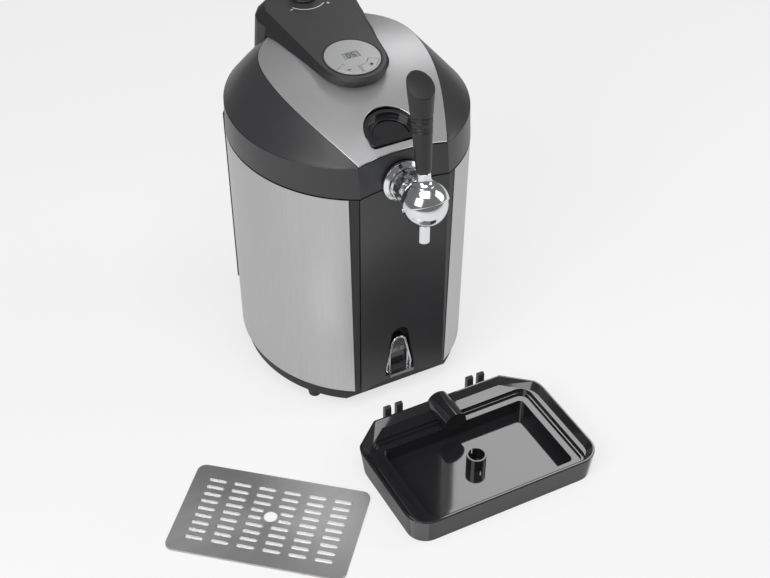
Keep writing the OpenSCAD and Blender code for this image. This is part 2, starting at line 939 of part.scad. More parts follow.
module lid_rim() {
  low = rim_plan(0, 0);
  high = rim_plan(0, rim_lean);
  in_low = rim_plan(lid_wall, 0);
  in_high = rim_plan(lid_wall, rim_lean);
  tops = rim_rise(0);
  color("#1f1f20")
    difference() {
      loft([for (i = [0:len(low) - 1]) rim_ring(low[i], high[i], in_high[i], in_low[i], tops[i])], closed = true);
      // notch that drops over the tap's boss
      translate([0, 0, tap_z])
        rod_y(notch_r, corner_y - 10, corner_y + 30);
      translate([-notch_r, corner_y - 10, rim_bottom_z - past])
        cube([2 * notch_r, 40, tap_z - rim_bottom_z + past]);
    }
}

// The crease where the silver panel meets the dome, from front corner to rear, right side
crease_front = [
  [front_half, crease_front_y], [front_half + 22, crease_front_y + 49],
  [top_half_w, -45], [top_half_w, 5]
];
crease_rear = [
  [top_half_w, 5], [top_half_w, 36],
  [84, 56], [61, crease_rear_y]
];
// Behind the crease the dome closes under the console
crease_back = [
  [61, crease_rear_y], [44, 90],
  [24, 104], [0, 104]
];

function crease(t) =
  t < 0.45 ? bezier(crease_front, t / 0.45)
  : t < 0.75 ? bezier(crease_rear, (t - 0.45) / 0.3)
  : bezier(crease_back, (t - 0.75) / 0.25);

// Matching point on the rim's top edge
function dome_foot(t, inset) = let(
    a0 = -acos(front_half / (half_w - inset)),
    a = between(a0, 90, pow(t, 0.92))
  ) oval(a, half_w - inset, a < 0 ? -(crease_front_y + inset * 0.4) / sin(-a0) : half_d - inset);

dome_points = 6;
dome_fullness = 0.08;

// One section of the dome, outer line then inner line
function dome_ring(t, flip) = let(
    z0 = rim_top_z + seat_gap,
    foot = dome_foot(t, 1),
    top = crease(t),
    z1 = max(panel_z(top.x, top.y), z0 + 1.2),
    in_foot = dome_foot(t, 1 + lid_wall),
    dir = (top - foot) / max(1, norm(top - foot)),
    bulge = min(1, norm(top - foot) / 30),
    outer = [for (i = [0:dome_points]) let(s = i / dome_points, h = sin(90 * pow(s, 0.85)))
      [foot.x + (top.x - foot.x) * between(s, 1 - cos(90 * s), dome_fullness),
       foot.y + (top.y - foot.y) * between(s, 1 - cos(90 * s), dome_fullness),
       z0 + (z1 - z0) * between(s, h, dome_fullness)]],
    inner = [for (i = [dome_points:-1:0]) let(s = i / dome_points, h = sin(90 * pow(s, 0.85)))
      [foot.x + (top.x - foot.x) * between(s, 1 - cos(90 * s), dome_fullness) + dir.x * lid_wall * bulge * (1 - 0.5 * s),
       foot.y + (top.y - foot.y) * between(s, 1 - cos(90 * s), dome_fullness) + dir.y * lid_wall * bulge * (1 - 0.5 * s),
       z0 + (z1 - z0 - lid_wall * bulge) * between(s, h, dome_fullness)]],
    ring = concat(outer, inner)
  ) flip ? [for (p = ring) [-p.x, p.y, p.z]] : ring;

module dome_form() {
  n = sweep_steps;
  right = [for (t = steps(n)) dome_ring(t, false)];
  left = [for (i = [n - 1:-1:0]) dome_ring(i / n, true)];
  loft(concat(right, left));
}

module lid_dome() {
  color("#242426")
    difference() {
      dome_form();
      // the console stands in an opening of its own shape
      console_form(-seat_gap);
    }
}

// Silver panel: cross lines from crease to crease, bowed at the front and at the rear
panel_rows = 22;
panel_cols = 14;
panel_end = 0.75;

function panel_point(t, s, drop) = let(
    side = crease(t * panel_end),
    front = max(0, 1 - t / 0.12),
    rear = max(0, (t - 0.7) / 0.3),
    y = side.y + (1 - s * s) * (4.5 * front + 17 * rear * rear) + (front > 0 ? 0.4 * front : 0),
    x = s * (side.x - 0.5)
  ) [x, y, panel_z(x, y) + 0.3 - drop];

module panel_form() {
  loft([
    for (i = [0:panel_rows]) let(t = i / panel_rows) concat(
      [for (j = [0:panel_cols]) panel_point(t, 2 * j / panel_cols - 1, 0)],
      [for (j = [panel_cols:-1:0]) panel_point(t, 2 * j / panel_cols - 1, top_t)]
    )
  ]);
}

module lid_top_panel() {
  color("#cfcfd0")
    difference() {
      panel_form();
      // opening for the latch, wider behind where the bezel's lip is sunk in it
      translate([0, 0, lid_top_z - 80])
        latch_shape(0.2, 90);
      intersection() {
        translate([0, 0, lid_top_z - 80])
          latch_shape(latch_lip + seat_gap, 90);
        translate([-2 * latch_r, -latch_y, lid_top_z - 80])
          cube([4 * latch_r, 2 * latch_r, 90]);
      }
    }
}

// Plan of the latch recess: round behind, straight in front
module latch_shape(grow, h) {
  r = latch_r + grow;
  corner = min(5, 0.6 * (latch_flat + grow));
  linear_extrude(h)
    translate([0, -latch_y])
      union() {
        intersection() {
          circle(r, $fn = 96);
          translate([-r, 0])
            square([2 * r, 2 * r]);
        }
        translate([-r, -latch_flat - grow + corner])
          square([2 * r, latch_flat + grow - corner]);
        translate([-r + corner, -latch_flat - grow])
          square([2 * (r - corner), corner]);
        for (x = [-1, 1])
          translate([x * (r - corner), -latch_flat - grow + corner])
            circle(corner);
      }
}

latch_tilt = 16;
latch_lip = 0.9;
latch_z = panel_z(0, -latch_y) + 0.3;

// Places a piece on the silver panel's slope at the latch
module on_latch() {
  translate([0, -latch_y, latch_z])
    rotate([latch_tilt, 0, 0])
      translate([0, latch_y, 0])
        children();
}

module latch_bezel() {
  deep = 11;
  color("#151516")
    on_latch()
      difference() {
        union() {
          translate([0, 0, -deep])
            latch_shape(-1.6, deep);
          translate([0, 0, 0.1])
            latch_shape(latch_lip, 0.9);
          translate([0, 0, -0.2])
            latch_shape(-1.6, 0.6);
        }
        translate([0, 0, -4.5])
          latch_shape(-3.6, deep);
        translate([0, 0, -deep - past])
          latch_shape(-9, deep + 2 * past);
      }
}

module latch_button() {
  color("#1a1a1b")
    on_latch() {
      translate([0, 0, -9])
        latch_shape(-9.5, 2.6);
      translate([0, 0, -12.5])
        latch_shape(-11, 3.6);
    }
}

module lid_liner() {
  flange_t = 2.4;
  z0 = rim_bottom_z + 0.3;
  color("#d9d9d6")
    difference() {
      union() {
        translate([0, 0, z0])
          linear_extrude(flange_t)
            polygon(body_plan(lid_wall + 1.4));
        translate([0, -well_y, z0])
          cylinder(r = liner_r + liner_pan_t, h = liner_roof_z - z0 + liner_pan_t, $fn = 96);
      }
      translate([0, -well_y, z0 - past])
        cylinder(r = liner_r, h = liner_roof_z - z0 + past, $fn = 96);
      // room for the tap's shank
      translate([-shank_notch_half, corner_y - 10, z0 - past])
        cube([2 * shank_notch_half, shank_notch_y - corner_y + 10, liner_roof_z - z0 + past]);
    }
}

module lid_foam() {
  z0 = rim_bottom_z + 2.8;
  color("#eceae3")
    difference() {
      translate([0, 0, z0])
        linear_extrude(rim_top_z - 4 - z0)
          polygon(body_plan(lid_wall + 7));
      translate([0, -well_y, z0 - past])
        cylinder(r = liner_r + liner_pan_t + seat_gap, h = rim_h + 10, $fn = 96);
      translate([-shank_notch_half - 1, corner_y - 10, z0 - past])
        cube([2 * shank_notch_half + 2, shank_notch_y - corner_y + 10, rim_h + 10]);
    }
}

module lid_seal() {
  color("#3a3a3c")
    translate([0, -well_y, well_mouth_z + 0.25])
      difference() {
        cylinder(r = liner_r + 3, h = rim_bottom_z + 0.25 - well_mouth_z - 0.25, $fn = 96);
        translate([0, 0, -past])
          cylinder(r = liner_r, h = 10, $fn = 96);
        translate([-shank_notch_half, -well_r - 30, -past])
          cube([2 * shank_notch_half, 50, 10]);
      }
}

// ---------- console ----------

side_front_y = 14;
side_grow = 0.114;
console_side_y = 98;
foot_step_y = 81;
foot_gap = 0.45;
console_back_y = 133;

// Half outline of the console's face, from the nose round to the back
function face_half() = let(
    nose = [for (a = [0:10:80]) [nose_r * sin(a), -nose_y - nose_r * cos(a)]],
    side_x = function(y) nose_r + 0.5 + side_grow * (y + side_front_y),
    sides = [for (y = [-14, 10, 40, 60, foot_step_y, foot_step_y + 3, console_side_y]) [side_x(y), y]],
    wide = side_x(console_side_y),
    back = [for (a = [18:18:90]) [wide * cos(a), console_side_y + (console_back_y - console_side_y) * sin(a)]]
  ) concat(nose, sides, back);

// Share from 0 to 1 with soft ends
function ease(t) = let(c = min(1, max(0, t))) c * c * (3 - 2 * c);

// Bevel width grows towards the back
function bevel_w(y) = 3 + 8 * ease((y - 30) / 75);

// How far the console's foot stands outside its face: under the nose it draws in
function foot_flare(x, y) =
  y < 40 ? between(-5, 9.5, pow(min(1, max(0, (y + 52) / 92)), 0.75))
  : bevel_w(y) + (4 + 2.5 * ease((60 - y) / 30)) * min(1, abs(x) / 45);

// Lower edge of the console: on the silver panel, and behind it down through the dome
function foot_z(x, y) =
  y < foot_step_y + 1 ? panel_z(x, y) + 0.3 + foot_gap : rim_top_z + 1;

// Outline of one level of the console: 0 foot, 1 under the bevel, 2 face
function console_ring(inset, level) = let(
    half = face_half(),
    n = len(half),
    pushed = [
      for (i = [0:n - 1]) let(
        p = half[i],
        before = half[max(0, i - 1)],
        after = half[min(n - 1, i + 1)],
        along = i == 0 ? [1, 0] : i == n - 1 ? [-1, 0] : (after - before) / norm(after - before),
        out = [along.y, -along.x],
        b = bevel_w(p.y),
        flare = level == 2 ? 0 : level == 1 ? b : foot_flare(p.x, p.y),
        q = p + out * (flare - inset),
        z = level == 0 ? foot_z(q.x, q.y) - (inset > 0 ? 1.5 : 0)
          : face_z(p.y) - (level == 1 ? b + inset * 0.4 : inset)
      ) [i == 0 || i == n - 1 ? 0 : q.x, q.y, z]
    ]
  ) pushed;

// A solid between two half outlines and their mirror images; its ends are closed across
module mirrored_slab(low, high) {
  n = len(low);
  k = 2 * n - 2;
  flip = function(half) concat(half, [for (i = [n - 2:-1:1]) [-half[i].x, half[i].y, half[i].z]]);
  sides = [
    for (i = [0:k - 1], t = [0, 1]) let(b = (i + 1) % k)
      t == 0 ? [i, i + k, b] : [b, i + k, b + k]
  ];
  strip = concat(
    [[0, 1, k - 1]],
    [for (i = [1:n - 3]) [i, i + 1, k - i - 1, k - i]],
    [[n - 2, n - 1, n]]
  );
  top = [for (f = strip) [for (v = [len(f) - 1:-1:0]) f[v] + k]];
  polyhedron(concat(flip(low), flip(high)), concat(strip, sides, top), convexity = 4);
}

module console_form(inset) {
  rings = [for (level = [0:2]) console_ring(inset, level)];
  union()
    for (i = [0:1])
      mirrored_slab(rings[i], rings[i + 1]);
}

module console() {
  color("#4a4a4d")
    difference() {
      console_form(0);
      console_form(lid_wall);
      // open towards the space under the silver panel
      translate([-52.5, foot_step_y - 8, rim_top_z - 2])
        cube([105, 16, lid_top_z + 5 - rim_top_z + 2]);
      // seat of the display disc
      on_face(-nose_y)
        translate([0, 0, -8])
          cylinder(r = disc_r + 0.4, h = 12);
      // hole for the knob's spindle
      on_face(knob_y)
        translate([0, 0, -8])
          cylinder(r = spindle_r + 1.2, h = 12);
    }
}

disc_t = 2.4;
window_w = 19;
window_d = 11;
window_y = 3.5;
button_in_r = 17;
button_out_r = 28.5;

// Plan of one display button: part of a ring at the front of the disc
module button_plan(side, grow) {
  intersection() {
    difference() {
      circle(button_out_r + grow, $fn = 96);
      circle(button_in_r - grow, $fn = 96);
    }
    polygon([
      [side * (1.2 - grow), -4],
      [side * (1.2 - grow), -60],
      [side * (60 + grow), -60],
      [side * (60 + grow), -34 + grow],
      [side * (12 + grow), -6 + grow],
      [side * (8 + grow), -4]
    ]);
  }
}

module display_bezel() {
  color("#c8c8c9")
    on_face(-nose_y)
      difference() {
        translate([0, 0, -disc_t + 0.6])
          cylinder(r = disc_r, h = disc_t, $fn = 96);
        translate([-window_w / 2, window_y - window_d / 2, -disc_t])
          cube([window_w, window_d, 2 * disc_t]);
        for (side = [-1, 1])
          translate([0, 0, -disc_t])
            linear_extrude(2 * disc_t)
              button_plan(side, 0.35);
      }
}

module display_window() {
  color("#9aa39b")
    on_face(-nose_y)
      translate([-window_w / 2 + 0.15, window_y - window_d / 2 + 0.15, -disc_t + 0.6])
        cube([window_w - 0.3, window_d - 0.3, disc_t - 0.5]);
}

module display_board() {
  board_z = -disc_t + 0.6 - 2.6;
  color("#245c38")
    on_face(-nose_y)
      difference() {
        translate([-22, -14, board_z])
          cube([44, 34, 1.2]);
        for (side = [-1, 1])
          translate([0, 0, board_z - past])
            linear_extrude(4)
              button_plan(side, 0.4);
      }
  color("#2b2b2d")
    on_face(-nose_y) {
      translate([-9, window_y - 5, board_z + 1.2])
        cube([18, 10, 1.3]);
      for (x = [-19, 19], y = [2, 17])
        translate([x, y, board_z + 1.2])
          cylinder(r = 1.5, h = 1.3);
    }
}

module display_button(side) {
  color("#cdcdce")
    on_face(-nose_y)
      translate([0, 0, -disc_t + 1.2])
        linear_extrude(disc_t - 0.7)
          button_plan(side, 0);
}

module minus_button() {
  display_button(-1);
}

module plus_button() {
  display_button(1);
}

spindle_r = 4;
spindle_len = 24;

module pressure_knob() {
  grips = 18;
  skirt_h = 3;
  color("#0f0f10")
    on_face(knob_y) {
      difference() {
        union() {
          translate([0, 0, move_gap])
            cylinder(r = knob_r, h = skirt_h);
          translate([0, 0, move_gap + skirt_h])
            cylinder(r1 = knob_r - 1, r2 = knob_r - 2.5, h = knob_h - skirt_h);
        }
        for (i = [0:grips - 1])
          rotate(i * 360 / grips)
            translate([knob_r - 1.2, 0, move_gap + skirt_h + 0.6])
              cylinder(r = 1.1, h = knob_h, $fn = 16);
      }
      translate([0, 0, -spindle_len])
        cylinder(r = spindle_r, h = spindle_len + 1);
    }
}

regulator_r = 13;
cartridge_r = 11;
cartridge_len = 72;
cartridge_drop = 36;

module pressure_regulator() {
  color("#b8a070")
    on_face(knob_y)
      difference() {
        union() {
          translate([0, 0, -42])
            cylinder(r = regulator_r, h = 34);
          translate([0, 0, -9])
            cylinder(r = 9, h = 9 - lid_wall - seat_gap);
          translate([0, 0, -cartridge_drop])
            rod_y(7, -regulator_r - 10, 0);
        }
        translate([0, 0, -spindle_len - 1])
          cylinder(r = spindle_r + shaft_gap, h = 30);
      }
}

module gas_cartridge() {
  start = -regulator_r - 10.2;
  color("#9ea2a6")
    on_face(knob_y)
      translate([0, 0, -cartridge_drop]) {
        rod_y(4, start - 6, start);
        translate([0, start - 6, 0])
          rotate([90, 0, 0])
            cylinder(r1 = 4, r2 = cartridge_r, h = 9);
        rod_y(cartridge_r, start - cartridge_len, start - 15);
        translate([0, start - cartridge_len, 0])
          sphere(cartridge_r);
      }
}

module cartridge_holder() {
  start = -regulator_r - 10.2;
  inner = cartridge_r + seat_gap;
  roof = liner_roof_z + liner_pan_t + 0.1;
  color("#2c2c2e")
    difference() {
      union() {
        on_face(knob_y)
          translate([0, 0, -cartridge_drop])
            rod_y(inner + 1.6, start - cartridge_len + 12, start - 24);
        // posts on the liner's roof
        for (y = [34, 60])
          translate([-9, y, roof])
            cube([18, 4, face_z(y) - cartridge_drop / cos(face_tilt) - roof]);
      }
      on_face(knob_y)
        translate([0, 0, -cartridge_drop])
          rod_y(inner, start - cartridge_len - 20, start + 20);
    }
}

// ---------- tap ----------

module tap_flange() {
  back = boss_front_y - 0.2;
  color("#d8dadc")
    translate([0, 0, tap_z])
      difference() {
        union() {
          rod_y(flange_r, back - 2.4, back);
          translate([0, back - 2.4, 0])
            rotate([90, 0, 0])
              cylinder(r1 = flange_r, r2 = flange_r - 4, h = 3);
        }
        rod_y(shank_r + seat_gap, back - 20, back + past);
        // the flange stands clear of the panel's hollow
        translate([0, 0, -tap_z])
          translate([0, hollow_mid_y, 0])
            difference() {
              cylinder(r = hollow_r + 40, h = seam_z + 60, $fn = 180);
              translate([0, 0, -past])
                cylinder(r = hollow_r - 0.3, h = seam_z + 64, $fn = 180);
            }
      }
}

collar_back_y = boss_front_y - 5.8;

module tap_collar() {
  notches = 12;
  length = 17;
  color("#c9ccce")
    translate([0, 0, tap_z])
      difference() {
        union() {
          rod_y(18.5, collar_back_y - length, collar_back_y);
          rod_y(20, collar_back_y - 4, collar_back_y);
        }
        rod_y(shank_r + seat_gap, collar_back_y - 30, collar_back_y + past);
        for (i = [0:notches - 1])
          rotate([0, i * 360 / notches, 0])
            translate([-1.2, collar_back_y - length - past, 17])
              cube([2.4, length - 3, 4]);
        // hollow front face that the ball sits in
        translate([0, -ball_y, 0])
          sphere(ball_r + 0.15, $fn = 96);
      }
}

stem_r = 3;
spout_neck_r = spout_r - 0.7;
shank_back_y = -well_y - well_r - 9.5;
pivot_r = 2.5;

module tap_body() {
  color("#dadcde")
    translate([0, 0, tap_z])
      difference() {
        union() {
          translate([0, -ball_y, 0])
            sphere(ball_r, $fn = 96);
          rod_y(shank_r, -ball_y, shank_back_y);
          // barb for the beer line
          rod_y(5.5, shank_back_y - 1, shank_back_y + 4);
          translate([0, shank_back_y + 4, 0])
            rotate([-90, 0, 0])
              cylinder(r1 = 6.4, r2 = 5, h = 4);
        }
        rod_y(stem_r + shaft_gap, -ball_y - 12, shank_back_y + 20);
        translate([0, -ball_y, -ball_r - 4])
          cylinder(r = spout_neck_r + shaft_gap, h = ball_r - 6);
        translate([0, -ball_y, -12])
          cylinder(r = spout_bore_r, h = 12);
        translate([0, -ball_y, 0])
          rod_x(pivot_r + shaft_gap, -ball_r - 2, ball_r + 2);
        // slot in which the cap's tongue moves
        translate([-5, -ball_y - 19, 2])
          cube([10, 22, ball_r + 2]);
      }
}

module tap_nut() {
  color("#bfa76a")
    translate([0, 0, tap_z])
      difference() {
        translate([0, boss_back_y + 0.2 + nut_t, 0])
          rotate([90, 0, 0])
            cylinder(r = 14.5, h = nut_t, $fn = 6);
        rod_y(shank_r + seat_gap / 2, boss_back_y - past, boss_back_y + nut_t + 2);
      }
}

module tap_stem() {
  color("#b0b3b6")
    translate([0, 0, tap_z])
      difference() {
        rod_y(stem_r, -ball_y + 11.5, shank_back_y - 12);
        // flats along which the drink flows
        for (z = [-1, 1])
          translate([-4, -ball_y + 14, z * 3.4 - 1])
            cube([8, 60, 2]);
      }
}

module tap_spout() {
  color("#d8dadc")
    translate([0, -ball_y, tap_z])
      difference() {
        union() {
          translate([0, 0, -spout_len])
            cylinder(r = spout_r, h = spout_len - ball_r - 0.1);
          // neck that goes up into the ball
          translate([0, 0, -ball_r - 1])
            cylinder(r = spout_neck_r, h = ball_r - 11.4);
        }
        translate([0, 0, -spout_len - past])
          cylinder(r = spout_bore_r, h = spout_len);
      }
}

cap_in_r = ball_r + 0.3;
cap_out_r = ball_r + 1.7;
cap_front_tilt = 62;
cap_back_tilt = 50;
neck_r = 7.5;
neck_len = 38;

module tap_cap() {
  color("#e0e2e4")
    translate([0, -ball_y, tap_z]) {
      difference() {
        intersection() {
          sphere(cap_out_r, $fn = 96);
          // the wedge over the ball, its edges meeting at the pivot
          union() {
            rotate([cap_front_tilt - 90, 0, 0])
              translate([-40, -40, 0])
                cube([80, 40, 60]);
            rotate([90 - cap_back_tilt, 0, 0])
              translate([-40, 0, 0])
                cube([80, 40, 60]);
            translate([-40, -8, 0])
              cube([80, 16, 60]);
          }
          translate([-40, -40, 0])
            cube([80, 80, 60]);
        }
        sphere(cap_in_r, $fn = 96);
        rod_x(pivot_r + shaft_gap, -40, 40);
      }
      // tongue that works the valve's stem
      translate([-3, -2, 5])
        cube([6, 4, cap_in_r - 4.4]);
      rotate([-handle_lean, 0, 0])
        translate([0, 0, cap_in_r + 0.6])
          cylinder(r = neck_r, h = neck_len - cap_in_r - 0.6);
    }
}

handle_top_r = 14.4;

// Handle profile along its axis: radius at each share of its length
handle_profile = [
  [0, 7.4], [0.05, 8.6], [0.2, 9.2], [0.4, 10.3], [0.52, 11], [0.64, 11.6], [0.8, 13], [0.92, 14.1],
  [1, handle_top_r]
];
groove_shares = [0.505, 0.545, 0.62, 0.66];

module tap_handle() {
  cut_slope = 35;
  color("#161617")
    translate([0, -ball_y, tap_z])
      rotate([-handle_lean, 0, 0])
        translate([0, 0, neck_len])
          difference() {
            rotate_extrude($fn = 64)
              polygon(concat(
                [[0, 0]],
                [for (p = handle_profile) [p[1], p[0] * handle_len]],
                [[handle_top_r + 0.3, handle_len + 12], [0, handle_len + 12]]
              ));
            // slanted top
            translate([0, 0, handle_len])
              rotate([cut_slope, 0, 0])
                translate([-30, -40, 0])
                  cube([60, 80, 40]);
            for (g = groove_shares)
              translate([0, 0, g * handle_len])
                rotate_extrude($fn = 64)
                  translate([11.6 + (g - 0.5) * 6, 0])
                    circle(0.9, $fn = 16);
          }
}

module tap_pivot() {
  reach = cap_out_r + 1.2;
  color("#c4c6c8")
    translate([0, -ball_y, tap_z])
      rod_x(pivot_r, -reach, reach);
}

// ---------- bottle opener ----------

opener_back_y = corner_y + panel_hollow + 8.6;
opener_t = 6;
niche_back_y = opener_back_y + 2;
niche_half = opener_w / 2 + 3.2;
niche_h = opener_h + 15;

module bottle_opener() {
  frame_w = 4.2;
  color("#cfd1d3")
    translate([0, opener_back_y, opener_z])
      rotate([90, 0, 0])
        difference() {
          union() {
            opener_arch(0, opener_t, opener_h);
            // lower catch lip
            translate([-opener_w / 2 + 2, -1, 0])
              cube([opener_w - 4, 4, opener_t + 9]);
          }
          // throat that the bottle's cap goes into
          translate([-opener_w / 2 + frame_w + 2, 8, 1.6])
            cube([opener_w - 2 * frame_w - 4, 17, opener_t + 10]);
          // sloping hood above the throat
          translate([-opener_w / 2 + frame_w + 3.5, 25, 3.4])
            cube([opener_w - 2 * frame_w - 7, 12, opener_t]);
          translate([0, 25, 0])
            opener_screw_spots()
              translate([0, 0, -past])
                cylinder(r = 1.7, h = 10);
        }
}

module opener_screw_spots() {
  for (x = [-1, 1])
    translate([x * 5, 6, 0])
      children();
}

module opener_screws() {
  color("#9b9da0")
    translate([0, opener_back_y, opener_z])
      rotate([90, 0, 0])
        translate([0, 25, 0])
          opener_screw_spots()
            difference() {
              union() {
                translate([0, 0, -2])
                  cylinder(r = 1.5, h = 5.6);
                translate([0, 0, 3.5])
                  cylinder(r = 2.8, h = 1.4);
              }
              for (turn = [0, 90])
                rotate(turn)
                  translate([-1.9, -0.35, 4.2])
                    cube([3.8, 0.7, 2]);
            }
}

// ---------- drip tray ----------

// Outline of the tray at an inset: round front corners, chamfered rear corners
function tray_plan(inset) = let(
    w = tray_w / 2 - inset,
    d = tray_d / 2 - inset,
    r = max(4, tray_corner_r - inset),
    cut_x = 36 - inset * 0.4,
    cut_y = 27 - inset * 0.4,
    side_r = 20,
    right = concat(
      [for (a = [-90:10:0]) [w - r + r * cos(a), -d + r + r * sin(a)]],
      [for (a = [0:9:36]) [w - side_r + side_r * cos(a), d - cut_y - 16 + (side_r + 6) * sin(a)]],
      [[w - cut_x, d]]
    )
  ) concat(right, [for (i = [len(right) - 1:-1:0]) [-right[i].x, right[i].y]]);

module tray_layer(inset, z0, z1) {
  translate([0, 0, z0])
    linear_extrude(z1 - z0)
      polygon(tray_plan(inset));
}

grate_seat_w = grate_w + 2 * ledge_play;
grate_seat_d = grate_d + 2 * ledge_play;
grate_seat_y = -10;
basin_w = grate_seat_w - 18;
basin_d = grate_seat_d - 18;
tube_top_z = ledge_z - 0.3;
tube_y = -7;
finger_spots = [-62, -47, 47, 62];

module drip_tray() {
  tunnel_r = 14;
  tunnel_z = tray_h - 5.5;
  color("#202021")
    translate([tray_x, -tray_y, 0]) {
      difference() {
        union() {
          difference() {
            union() {
              slab(
                [for (p = tray_plan(tray_draft)) [p.x, p.y, 0]],
                [for (p = tray_plan(0)) [p.x, p.y, tray_h - 1.2]]
              );
              tray_layer(0.8, tray_h - 1.3, tray_h);
            }
            // sloping inner side of the rim
            slab(
              [for (p = tray_plan(rim_lip + rim_slope_w)) [p.x, p.y, rim_step_z]],
              [for (p = tray_plan(rim_lip)) [p.x, p.y, tray_h + 0.1]]
            );
            // step above the grate's seat
            translate([0, grate_seat_y, seat_step_z])
              round_plate(
                grate_seat_w + 2 * seat_step_w, grate_seat_d + 2 * seat_step_w,
                grate_corner_r + ledge_play + seat_step_w, tray_h
              );
            // seat of the grate
            translate([0, grate_seat_y, ledge_z])
              round_plate(grate_seat_w, grate_seat_d, grate_corner_r + ledge_play, tray_h);
            // basin
            translate([0, grate_seat_y, tray_floor_t])
              round_plate(basin_w, basin_d, 6, tray_h);
          }
          // half round tunnel over the rear wall
          translate([0, 0, tunnel_z])
            intersection() {
              rod_y(tunnel_r, grate_seat_y + grate_seat_d / 2 - 14, tray_d / 2);
              translate([-30, 0, -tunnel_z + ledge_z - 3])
                cube([60, tray_d, 60]);
            }
        }
        // the tunnel is hollow from behind
        translate([0, 0, tunnel_z])
          rod_y(tunnel_r - 2, grate_seat_y + grate_seat_d / 2 - 10, tray_d / 2 + past);
      }
      // notched tube in the middle
      tube_h = tube_top_z - tray_floor_t + 0.5;
      translate([0, tube_y, tray_floor_t - 0.5])
        difference() {
          cylinder(r = tube_r, h = tube_h);
          translate([0, 0, 0.6])
            cylinder(r = tube_r - 1.8, h = tube_h);
          translate([-1.2, 0, tube_h - 7])
            cube([2.4, 20, 8]);
          translate([-1.2, -20, 0.6])
            cube([2.4, 20, 8]);
        }
      // hooked fingers behind the rear wall
      for (x = finger_spots)
        translate([x, tray_d / 2 - 0.5, 0])
          tray_finger();
    }
}

module tray_finger() {
  thick = 8;
  reach = 11;
  rise = 40;
  translate([thick / 2, 0, 0])
    rotate([0, -90, 0])
      linear_extrude(thick)
        polygon([
          [14, -3], [20, -3], [24, reach - 6], [rise - 2, reach - 5.5],
          [rise, reach - 3], [rise - 2, reach], [20, reach], [14, reach - 5]
        ]);
}

module drip_grate() {
  tab = slot_w / 2;
  color("#bdbdbd")
    translate([grate_x, -grate_y, 0])
      rotate(grate_turn)
        difference() {
          round_plate(grate_w, grate_d, grate_corner_r, grate_h);
          translate([0, 0, -past])
            round_plate(grate_w - 2 * grate_t, grate_d - 2 * grate_t, grate_corner_r - grate_t, grate_h - grate_t + past);
          for (c = [0:slot_columns - 1], r = [0:slot_rows - 1])
            grate_slot(c, r, tab);
          translate([0, grate_hole_off, -past])
            cylinder(r = grate_hole_r, h = grate_h + 2 * past);
        }
}

// One slot; beside the middle hole the two inner columns have shorter slots
module grate_slot(c, r, tab) {
  x = (c - (slot_columns - 1) / 2) * slot_pitch_x;
  y = ((slot_rows - 1) / 2 - r) * slot_pitch_y;
  near = abs(x) < slot_pitch_x && abs(y - grate_hole_off) < grate_hole_r;
  short = near ? 5 : 0;
  mid = x + (near ? sign(x) * short / 2 : 0);
  length = slot_len - short;
  translate([mid, y, -past])
    linear_extrude(grate_h + 2 * past)
      union() {
        square([length - 2 * tab, slot_w], center = true);
        for (e = [-1, 1])
          translate([e * (length / 2 - tab), 0])
            circle(tab, $fn = 24);
      }
}

base();
feet();
inner_housing();
steel_wrap_left();
steel_wrap_right();
front_panel();
corner_trim();
rear_skirt();
top_deck();
keg_well();
foam_jacket();
cold_block();
peltier_module();
heat_sink();
fan_frame();
fan_rotor();
rear_cover();
cover_screws();
power_board();
power_inlet();
hinge_brackets();
hinge_leaf();
hinge_pin();
lid_rim();
lid_dome();
lid_top_panel();
lid_liner();
lid_foam();
lid_seal();
console();
display_bezel();
display_window();
display_board();
minus_button();
plus_button();
pressure_knob();
pressure_regulator();
gas_cartridge();
cartridge_holder();
latch_bezel();
latch_button();
tap_flange();
tap_collar();
tap_body();
tap_nut();
tap_stem();
tap_spout();
tap_cap();
tap_handle();
tap_pivot();
bottle_opener();
opener_screws();
drip_tray();
drip_grate();
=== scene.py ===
"""Looks of a cooled drink dispenser with its drip tray and grate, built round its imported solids.

Lengths are metres. Each group of pieces has its own operator, and the sidebar panel lists them.
"""

import json
import math

import bmesh
import bpy
from mathutils import Matrix, Vector

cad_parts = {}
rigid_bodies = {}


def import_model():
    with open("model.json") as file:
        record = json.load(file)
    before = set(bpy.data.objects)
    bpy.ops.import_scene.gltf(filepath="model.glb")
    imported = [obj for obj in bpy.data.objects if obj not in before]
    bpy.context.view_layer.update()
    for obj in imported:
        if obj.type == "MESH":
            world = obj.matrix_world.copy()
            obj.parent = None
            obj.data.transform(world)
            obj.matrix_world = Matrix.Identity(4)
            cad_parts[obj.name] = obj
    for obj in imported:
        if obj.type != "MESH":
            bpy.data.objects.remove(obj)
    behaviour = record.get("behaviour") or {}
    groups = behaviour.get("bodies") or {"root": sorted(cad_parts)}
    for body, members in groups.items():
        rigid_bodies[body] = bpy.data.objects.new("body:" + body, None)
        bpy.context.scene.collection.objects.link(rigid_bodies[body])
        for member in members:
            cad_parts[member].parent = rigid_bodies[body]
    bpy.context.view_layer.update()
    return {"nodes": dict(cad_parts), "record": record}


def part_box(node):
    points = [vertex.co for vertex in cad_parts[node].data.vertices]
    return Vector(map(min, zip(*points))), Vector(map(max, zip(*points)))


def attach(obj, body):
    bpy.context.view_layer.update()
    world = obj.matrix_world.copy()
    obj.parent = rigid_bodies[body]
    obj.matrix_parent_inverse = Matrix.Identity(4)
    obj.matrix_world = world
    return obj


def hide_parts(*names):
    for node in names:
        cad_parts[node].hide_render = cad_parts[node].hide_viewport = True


bl_info = {
    "name": "Drink Dispenser",
    "version": (1, 0, 0),
    "blender": (4, 5, 0),
    "location": "3D View > Sidebar > Dispenser",
    "description": "Finishes, shells, marks and studio of a cooled drink dispenser",
    "category": "Object",
}

